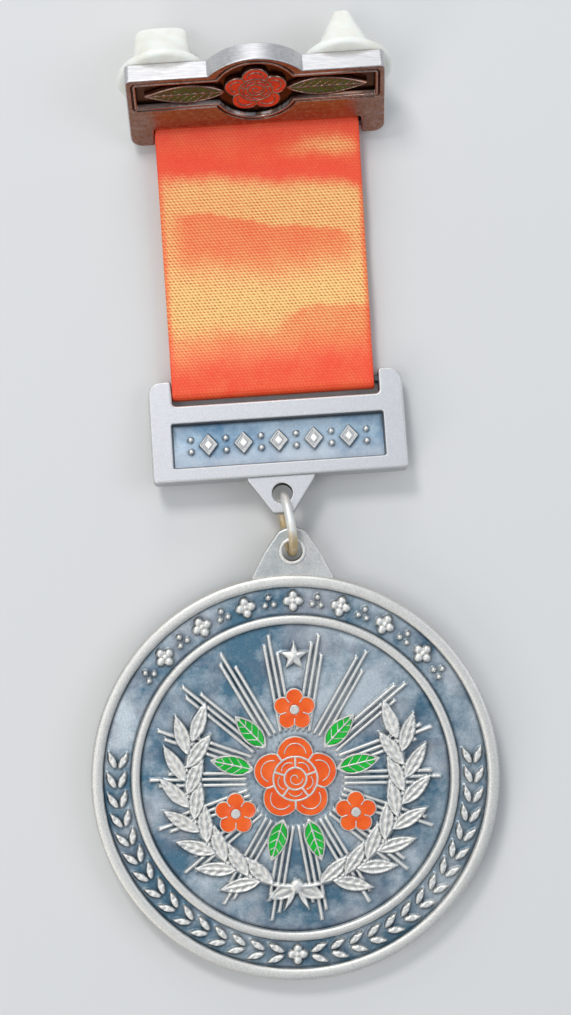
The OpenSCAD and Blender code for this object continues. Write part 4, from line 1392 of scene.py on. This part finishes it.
@dataclass
class BroochBar(Bar):
    """The brooch bar: a round top, a lined and sunk panel with a rose and two leaves, and pins."""

    h: float = 12.45
    crown_w: float = 11.4
    crown_rise: float = 2.7
    up: float = 9.25
    picture_w: float = 28.8
    picture_h: float = 4.1
    picture_r: float = 4.9
    # Share of the top tone on the front; the rest shows the ground tones, a painted coppery reflection.
    front_tone: float = 0.12
    groove_w: float = 0.25
    line_w: float = 0.3
    rose_r: float = 3.8
    spray_l: float = 9.0
    spray_w: float = 2.8
    spray_gap: float = 0.3
    spray_veins: int = 9
    pin_d: float = 1.1
    pin_l: float = 4.6

    def picture(self, margin: float) -> Array:
        """The panel's outline grown by a margin: a strip with a round middle, clockwise.

        The round meets the strip at the angle asin((strip's half height) / (round's radius)). The
        left and the lower arc are the right and the upper one turned half round.
        """
        half, tall, r = self.picture_w / 2 + margin, self.picture_h / 2 + margin, self.picture_r + margin
        low, high, corner = self.up - tall, self.up + tall, max(0.05, 0.12 + margin)
        a = math.degrees(math.asin(tall / r))
        right = rounded([(0, low, 0), (half, low, corner), (half, high, corner), (0, high, 0)])[1:-1]
        run = np.vstack([right, circle((0, self.up), r, 41, a, 180 - a)])
        return np.vstack([run, (0, 2 * self.up) - run])[::-1]

    def plate_skins(self) -> List[Skin]:
        """The plate, with a groove, a thin line and the sunk panel's wall."""
        x, slot, meet = self.w / 2, self.slot_l / 2, self.crown_w / 2
        crown_r = (meet ** 2 + self.crown_rise ** 2) / (2 * self.crown_rise)
        crown_up = self.h + self.crown_rise - crown_r
        a = math.degrees(math.asin((self.h - crown_up) / crown_r))
        crown = [(px, py, 0) for px, py in circle((0, crown_up), crown_r, 41, a, 180 - a)[1:-1]]
        outline = rounded(mirrored([(slot, 0, self.tip_r), (x, 0, self.ear_r), (x, self.h, self.corner_r),
                                    (meet, self.h, 0.2)], crown)
                          + [(-slot, self.slot_end, self.slot_r), (slot, self.slot_end, self.slot_r)])
        mid, line, groove, s = self.t - self.panel_depth / 2, self.line_w, self.line_w + self.groove_w, 0.05
        steps = ((0, self.floor - 0.03), (0, self.t - s), (s, self.t), (line - s, self.t), (line, self.t - s),
                 (line, mid), (groove, mid), (groove, self.t - s), (groove + s, self.t))
        plate = Plate(outline, 0, self.t, 0.18, pockets=[[(self.picture(margin), z) for margin, z in steps]],
                      front_tone=self.front_tone, pocket_dark=0.9)
        return self.shade_slot(plate.skins(), 0, self.slot_end)

    def panel_skins(self) -> List[Skin]:
        """The panel's ground: columns along X, and rows from the lower to the upper wall."""
        half = self.picture_w / 2 + 0.01
        x = np.linspace(-half, half, 300)
        tall = np.maximum(self.picture_h / 2, np.sqrt(np.maximum(self.picture_r ** 2 - x ** 2, 0))) + 0.01
        y = np.linspace(-1, 1, 41)[:, None] * tall
        nook = 0.72 + 0.2 * (1 - ease(np.minimum(tall - np.abs(y), half - np.abs(x)) / 0.5))
        points = np.stack([x + 0 * y, y + self.up, self.floor + 0 * y], -1)
        return [grid(points, raised=0.0, nook=nook), *closed_below(points, self.floor - 0.02, raised=0.0)]

    def pin_skins(self) -> List[Skin]:
        """The two pins, with rounded points."""
        r = self.pin_d / 2
        ends = [(r * cosd(a), -self.pin_l + r * (1 - sind(a))) for a in (90, 60, 30, 0)]
        ends += [(r, 0.2), (0.0, 0.2)]
        return [loft([(circle((side * LAYOUT.pin_pitch / 2, LAYOUT.pin_up), q, 24), z) for q, z in ends])
                for side in (-1, 1)]

    def build(self, silver: Finish, red: Finish, green: Finish) -> None:
        """Makes the bar's pieces.

        Args:
            silver: finish of the metal.
            red: enamel of the rose.
            green: enamel of the leaves.
        """
        cells, start = Cells(tone=self.front_tone), self.rose_r + self.spray_gap
        rose = Rose(self.rose_r, (0.0, self.up), self.floor, columns=400, rows=56, cells=cells)
        leaf_metal, leaf_enamel = gathered([
            EnamelLeaf(self.spray_l, self.spray_w, at, turn, self.floor, self.spray_veins, cells)
            for at, turn in (((start, self.up), 0), ((-start, self.up), 180))])
        plate = self.plate_skins() + self.rail(self.rail_in) + self.pin_skins()
        petals = [f"brooch_petal_{k}" for k in range(1, 6)]
        for name, skins, finish, nodes in (
                ("brooch_plate", plate, silver, ["brooch_bar"]),
                ("brooch_relief", self.panel_skins() + rose.metal() + leaf_metal, silver, ["brooch_bar"]),
                ("brooch_rose_enamel", rose.enamel(), red, ["brooch_rose_heart", *petals]),
                ("brooch_leaf_enamel", leaf_enamel, green, ["brooch_leaf_left", "brooch_leaf_right"])):
            make(name, skins, LAYOUT.brooch, finish, nodes)


# ---- ring, ribbon and caps ----

@dataclass
class JumpRing:
    """The ring of round wire, with the fine seam where its ends meet."""

    r: float = LAYOUT.ring_r
    wire: float = LAYOUT.wire
    seam_at: float = 250.0
    seam_w: float = 0.05
    seam_depth: float = 0.16
    worn_from: float = 75.0
    worn_to: float = 335.0

    def build(self, metal: Finish) -> None:
        """A torus about X: the wire's radius dips at the seam by a bell curve."""
        even, close = np.linspace(0, 360, 180, endpoint=False), self.seam_at + np.linspace(-1.6, 1.6, 9)
        around = np.unique(np.round(np.concatenate([even, close]), 4))[:, None]
        turn = np.linspace(0, 360, 28, endpoint=False)
        gap = np.radians(around - self.seam_at) * self.r
        q = self.wire / 2 * (1 - self.seam_depth * bell(gap, self.seam_w))
        y, z = polar(self.r + q * cosd(turn), around)
        worn = ease((around - self.worn_from) / 60) * ease((self.worn_to - around) / 60)
        skin = grid(np.stack([q * sind(turn), y, z], -1), wrap_rows=True, wrap_cols=True, flip=True, worn=worn)
        make("ring_wire_piece", [skin], LAYOUT.ring, metal, ["jump_ring"])


@dataclass
class Ribbon:
    """The ribbon: one long strip, joined to a loop, that goes round both rails."""

    w: float = 24.8
    t: float = 0.34
    wrap_gap: float = 0.08
    belt_ease: float = 6.0
    belt_close: float = 0.1
    wave: float = 0.42
    low_wave: float = 0.15
    wave_ease: float = 5.0
    skew: float = 0.12
    flare: float = 0.008
    stitch: float = 0.77

    def path(self) -> Tuple[Array, Array, Array]:
        """The loop's middle line seen from the side.

        Between the rails the two layers lie close to the line from rail to rail. Over belt_ease
        they part to wrap, and each goes half round its rail.

        Returns:
            The (y, z) points, the outward normals, and how far each point may wave outwards.
        """
        low, high = LAYOUT.lower_rail, LAYOUT.brooch_rail
        wrap = math.hypot(LAYOUT.rail_t, LAYOUT.rail_h) / 2 + self.wrap_gap + self.t / 2
        # Shares of the way from rail to rail, closer together near the rails.
        s = np.linspace(0, 1, 201)
        s = s - 0.24 * np.sin(TAU * s) / TAU
        y, z = low[0] + (high[0] - low[0]) * s, low[1] + (high[1] - low[1]) * s
        near = np.minimum(y - low[0], high[0] - y)
        half = wrap + (self.belt_close + self.t / 2 - wrap) * ease(near / self.belt_ease)
        swell = ease(near / self.wave_ease)
        top, bottom = np.column_stack([y, z + half]), np.column_stack([y, z - half])[::-1]
        over, under = (circle(rail, wrap, 25, start, start - 180)[1:-1]
                       for rail, start in ((high, 90), (low, 270)))
        points, still = np.vstack([top, over, bottom, under]), np.zeros(len(over))
        tangent = np.roll(points, -1, 0) - np.roll(points, 1, 0)
        tangent /= np.linalg.norm(tangent, axis=1, keepdims=True)
        room = np.concatenate([swell, still, self.low_wave * swell[::-1], still])
        return points, np.column_stack([-tangent[:, 1], tangent[:, 0]]), room

    @staticmethod
    def glow(up: Array, side: Array) -> Array:
        """How bright the painted sheen on the satin is, 0 to 1: bands that start at slanting edges.

        Going down from the brooch bar the value moves to that of the next band over an eased
        step, whose place shifts with the side.

        Args:
            up: 0 at the lower bar to 1 at the brooch bar.
            side: -1 at the left edge to 1 at the right.

        Returns:
            The value at each point.
        """
        rim, fold = ease((np.abs(side) - 0.72) / 0.24), ease(side / 0.35)
        up = (up + 0.007 * np.sin(6.5 * side + 1.0) + 0.004 * np.sin(17 * side + 30 * up)
              + 0.003 * np.sin(41 * side - 55 * up))
        # A faint painted light below the brooch bar on the right, crossed by a painted shadow of the bar.
        value = 0.02 + 0.42 * bell(up - 0.905, 0.035) * bell(side - 0.72, 0.38)
        value = value * (1 - 0.9 * bell(up - 0.845 + 0.04 * side, 0.035))
        # Each band: where its edge lies, how soft the edge is, and the value below it.
        bands = ((0.785 - 0.037 * side, 0.08, 0.6 + 0.06 * side),
                 (0.632 - 0.07 * side, 0.02 + 0.12 * rim, 0.24 + 0.3 * rim),
                 (0.44 + 0.03 * side ** 2, 0.2, 0.82 - 0.06 * rim),
                 (0.225 + 0.07 * fold, 0.12 - 0.09 * fold, 0.38),
                 (0.14 + 0.02 * side, 0.2, 0.04))
        for at, soft, level in bands:
            value = value + (level - value) * ease((at - up) / soft + 0.5)
        return value

    def section(self) -> Tuple[Array, Array]:
        """Across the ribbon: x, and the offset from its middle, once round with rounded selvedges."""
        half, t = self.w / 2, self.t / 2
        x = np.concatenate([np.linspace(-half + 0.3, half - 0.3, 58), [half - 0.08, half, half - 0.08]])
        side = np.concatenate([np.full(58, t), [t * 0.75, 0.0, -t * 0.75]])
        return np.concatenate([x, -x]), np.concatenate([side, -side])

    def build(self, satin: Finish) -> None:
        line, normal, room = self.path()
        x, side = self.section()
        step = np.linalg.norm(np.roll(line, -1, 0) - line, axis=1)
        length = float(step.sum())
        y, z, room, along = line[:, :1], line[:, 1:], room[:, None], (np.cumsum(step) - step)[:, None]
        # Two slanting waves, 11.5 mm and 19 mm long.
        wave = (0.5 + 0.3 * np.sin(TAU * (y + 0.1 * x) / 11.5 + 0.6)
                + 0.2 * np.sin(TAU * (y - 0.22 * x) / 19.0 + 2.0))
        out = side + self.wave * room * np.clip(wave, 0, 1)
        low, high = LAYOUT.lower_rail[0], LAYOUT.brooch_rail[0]
        share = np.clip((y - low) / (high - low), 0, 1)
        selvedge = ease((np.abs(x) - self.w / 2 + 0.8) / 0.35)
        beads = 0.5 + 0.5 * np.sin(TAU * along / self.stitch)
        # Painted sheen, dimmed along the stitched selvedges.
        glow = self.glow(share, x / (self.w / 2)) * (1 - selvedge * (0.45 + 0.3 * beads))
        across = x * (1 + self.flare * share) + self.skew * (share - 2)
        points = np.stack([across + 0 * out, y + normal[:, :1] * out, z + normal[:, 1:] * out], -1)
        # The last row repeats the first, so that the pattern doesn't run back along the seam.
        points, glow, along = (np.concatenate([rows, rows[:1]]) for rows in (points, glow, along))
        along[-1] = length
        uv = np.stack(np.broadcast_arrays(x / 10, along / 10), -1)
        strip = grid(points, wrap_cols=True, uv=uv, glow=glow)
        piece = make("ribbon_loop", [strip], LAYOUT.upper, satin, ["ribbon"])
        log.info("ribbon: %.1f mm wide, %.1f mm round", self.w, length)


class CapTurn(Enum):
    """Which way the ridge that a cap is pinched to runs."""

    ALONG = "along the bar"
    UPRIGHT = "upright"


@dataclass
class PinCap:
    """A soft cap: a round flange, a neck, and the ridge that it is pinched to."""

    name: str
    node: str
    side: int
    turn: CapTurn
    drop: float = 0.0
    d: float = 11.2
    flange_t: float = 1.1
    lip: float = 0.45
    neck_d: float = 7.2
    flare: float = 1.5
    rise: float = 1.3
    length: float = 7.75
    ridge_l: float = LAYOUT.ridge_l
    ridge_t: float = 2.8
    ridge_soft: float = 0.75
    hole_d: float = 1.22
    hole_l: float = 3.0
    dent: float = 0.1

    def build(self, rubber: Finish) -> None:
        """Rows from the pin's hole over the flange and the neck to the ridge's top.

        A row is a circle that turns into a rounded oblong: at share f of the way up its points are
        (1 - f) neck (cos a, sin a) + f (l/2 |cos a|^0.55, t/2 |sin a|^0.55) with the signs kept.
        """
        angle = np.linspace(0, 360, 72, endpoint=False)
        ring = np.column_stack(polar(1, angle))
        ridge = np.array([self.ridge_l, self.ridge_t]) / 2
        ridge = ridge[::-1] if self.turn is CapTurn.UPRIGHT else ridge
        oblong = ridge * np.sign(ring) * np.abs(ring) ** 0.55
        hole, r, t, neck, top = self.hole_d / 2, self.d / 2, self.flange_t, self.neck_d / 2, self.length
        rows: List[Row] = [(ring * q, z) for q, z in (
            (0, self.hole_l), (hole, self.hole_l), (hole, 0.1), (hole + 0.1, 0.0), (r - 2 * self.lip, 0.0))]
        # The flange is a little out of round, but never wider than its size.
        sag = 1 + 0.012 * sind(3 * angle + math.degrees(self.side)) + 0.01 * sind(5 * angle)
        sag = np.clip(sag, 0.97, 1)[:, None]
        for turn in range(-90, 91, 30):
            rows.append((ring * (r - self.lip + self.lip * cosd(turn)) * sag, t / 2 * (1 + sind(turn))))
        rows.append((ring * (neck + self.flare + 0.1), t + 0.02))
        for turn in (12, 30, 50, 70, 90):
            rows.append((ring * (neck + self.flare * (1 - sind(turn))), t + self.rise * (1 - cosd(turn))))
        start, shoulder, middle = t + self.rise, top - self.ridge_soft, np.array([0, -self.drop])
        for f in np.linspace(0.05, 1.0, 12):
            blend = f ** 1.1
            rows.append(((1 - blend) * neck * ring + blend * (oblong + middle), start + (shoulder - start) * f))
        for turn in (25, 50, 70, 84):
            rows.append((middle + oblong * (0.75 + 0.25 * cosd(turn)), shoulder + self.ridge_soft * sind(turn)))
        rows += [(middle + oblong * share, top) for share in (0.3, 0.0)]
        skin = loft(rows)
        x, _, z = skin.points.T
        pinched = (z > t + 0.6) & (z < top - 0.9)
        skin.points[:, 1] += self.dent * np.sin(x * 1.3 + self.side) * np.cos(z * 0.9) * pinched
        make(self.name, [skin], LAYOUT.cap(self.side), rubber, [self.node])


# ---- the studio ----

@dataclass(frozen=True)
class Lamp:
    """A soft square light at a place, turned towards the jewel."""

    name: str
    at: Tuple[float, float, float]
    size: float
    power: float
    colour: str = "#FFFFFF"

    def hang(self) -> None:
        """Adds the light to the scene."""
        data = bpy.data.lights.new(self.name, "AREA")
        data.shape, data.size, data.energy = "SQUARE", self.size * MM, self.power
        data.color = linear(self.colour)[:3]
        lamp = put(self.name, data)
        lamp.location = Vector(self.at) * MM
        lamp.rotation_euler = (-Vector(self.at)).to_track_quat("-Z", "Y").to_euler()


@dataclass
class Studio:
    """The pale floor, soft lights and the camera at the photograph's angle.

    The camera's place is measured from the medal's hole.
    """

    camera_at: Tuple[float, float, float] = (-4.77, 10.08, 340.0)
    camera_turn: Tuple[float, float, float] = (-0.81, -0.70, -0.83)
    lens: float = 97.6
    sensor: float = 36.0
    air: str = "#C9D3DF"
    air_power: float = 0.62
    floor_half: float = 3000.0
    floor_z: float = -0.02
    lamps: Sequence[Lamp] = (
        Lamp("key", (-170, 400, 540), 150, 1.6),
        Lamp("side", (-230, -60, 600), 260, 0.6),
        Lamp("fill", (380, 60, 420), 300, 0.5, "#F2F5FF"),
        Lamp("back", (-50, 760, 330), 320, 0.92),
        Lamp("low", (-300, -320, 300), 240, 0.4, "#FFF6EA"),
    )

    def build(self) -> None:
        """Makes floor, sky, lights and camera."""
        scene, half = bpy.context.scene, self.floor_half
        corners = np.array([[-half, -half], [half, -half], [half, half], [-half, half]])
        mesh = bpy.data.meshes.new("floor")
        mesh.from_pydata((lifted(corners, self.floor_z) * MM).tolist(), [], [[0, 1, 2, 3]])
        mesh.materials.append(PaleFloor("pale_card").material)
        put("floor", mesh)
        scene.view_settings.view_transform = "Standard"
        world = bpy.data.worlds.new("studio_air")
        world.use_nodes = True
        sky = world.node_tree.nodes["Background"].inputs
        sky["Color"].default_value, sky["Strength"].default_value = linear(self.air), self.air_power
        scene.world = world
        for lamp in self.lamps:
            lamp.hang()
        data = bpy.data.cameras.new("camera")
        data.lens, data.sensor_width, data.clip_start = self.lens, self.sensor, 10 * MM
        camera = put("camera", data)
        camera.location = Vector(placed(LAYOUT.base, np.array(self.camera_at))) * MM
        camera.rotation_euler = Euler([math.radians(v) for v in self.camera_turn], "ZYX")
        scene.camera = camera


def main() -> None:
    """Builds the studio and the jewel."""
    Studio().build()
    silver = AntiqueSilver("antique_silver")
    bar_silver = AntiqueSilver("antique_silver_bar", top="#C3C3C5", ground="#5F829E", ground_light="#A4B8C6",
                               tarnish_share=0.2, speck=0.88, bump=0.3)
    # On the brooch bar the ground tones are a painted reflection, copper-brown and dark: the ribbon that its
    # front mirrors, and the shade in front of it.
    brooch_silver_painted_reflection = AntiqueSilver("antique_silver_brooch_painted_reflection", top="#DEDCDC", top_rough=0.46, ground="#86533B",
                                  ground_light="#946044", ground_rough=0.2, tarnish_share=0.0, nook="#1C0C08",
                                  brush=(0.12, 1.0, 1.0), bump=0.2)
    red = SoftEnamel("orange_red_enamel", "red_enamel")
    coral = SoftEnamel("coral_enamel", "red_enamel", colour="#E02C10", deep="#C4230C")
    green = SoftEnamel("green_enamel", "green_enamel", colour="#08BA32", deep="#06A82C")
    olive = SoftEnamel("olive_enamel", "green_enamel", colour="#2E4A0A", deep="#3E3406")
    rubber = SoftRubber("ivory_soft_rubber")
    Medal().build(silver, red, green)
    JumpRing().build(PlatedWire("plated_brass_wire"))
    LowerBar().build(bar_silver)
    BroochBar().build(brooch_silver_painted_reflection, coral, olive)
    Ribbon().build(SatinRibbon("orange_satin_ribbon"))
    PinCap("left_cap", "left_pin_cap", -1, CapTurn.ALONG).build(rubber)
    PinCap("right_cap", "right_pin_cap", 1, CapTurn.UPRIGHT, drop=LAYOUT.ridge_drop).build(rubber)


if __name__ == "__main__":
    main()
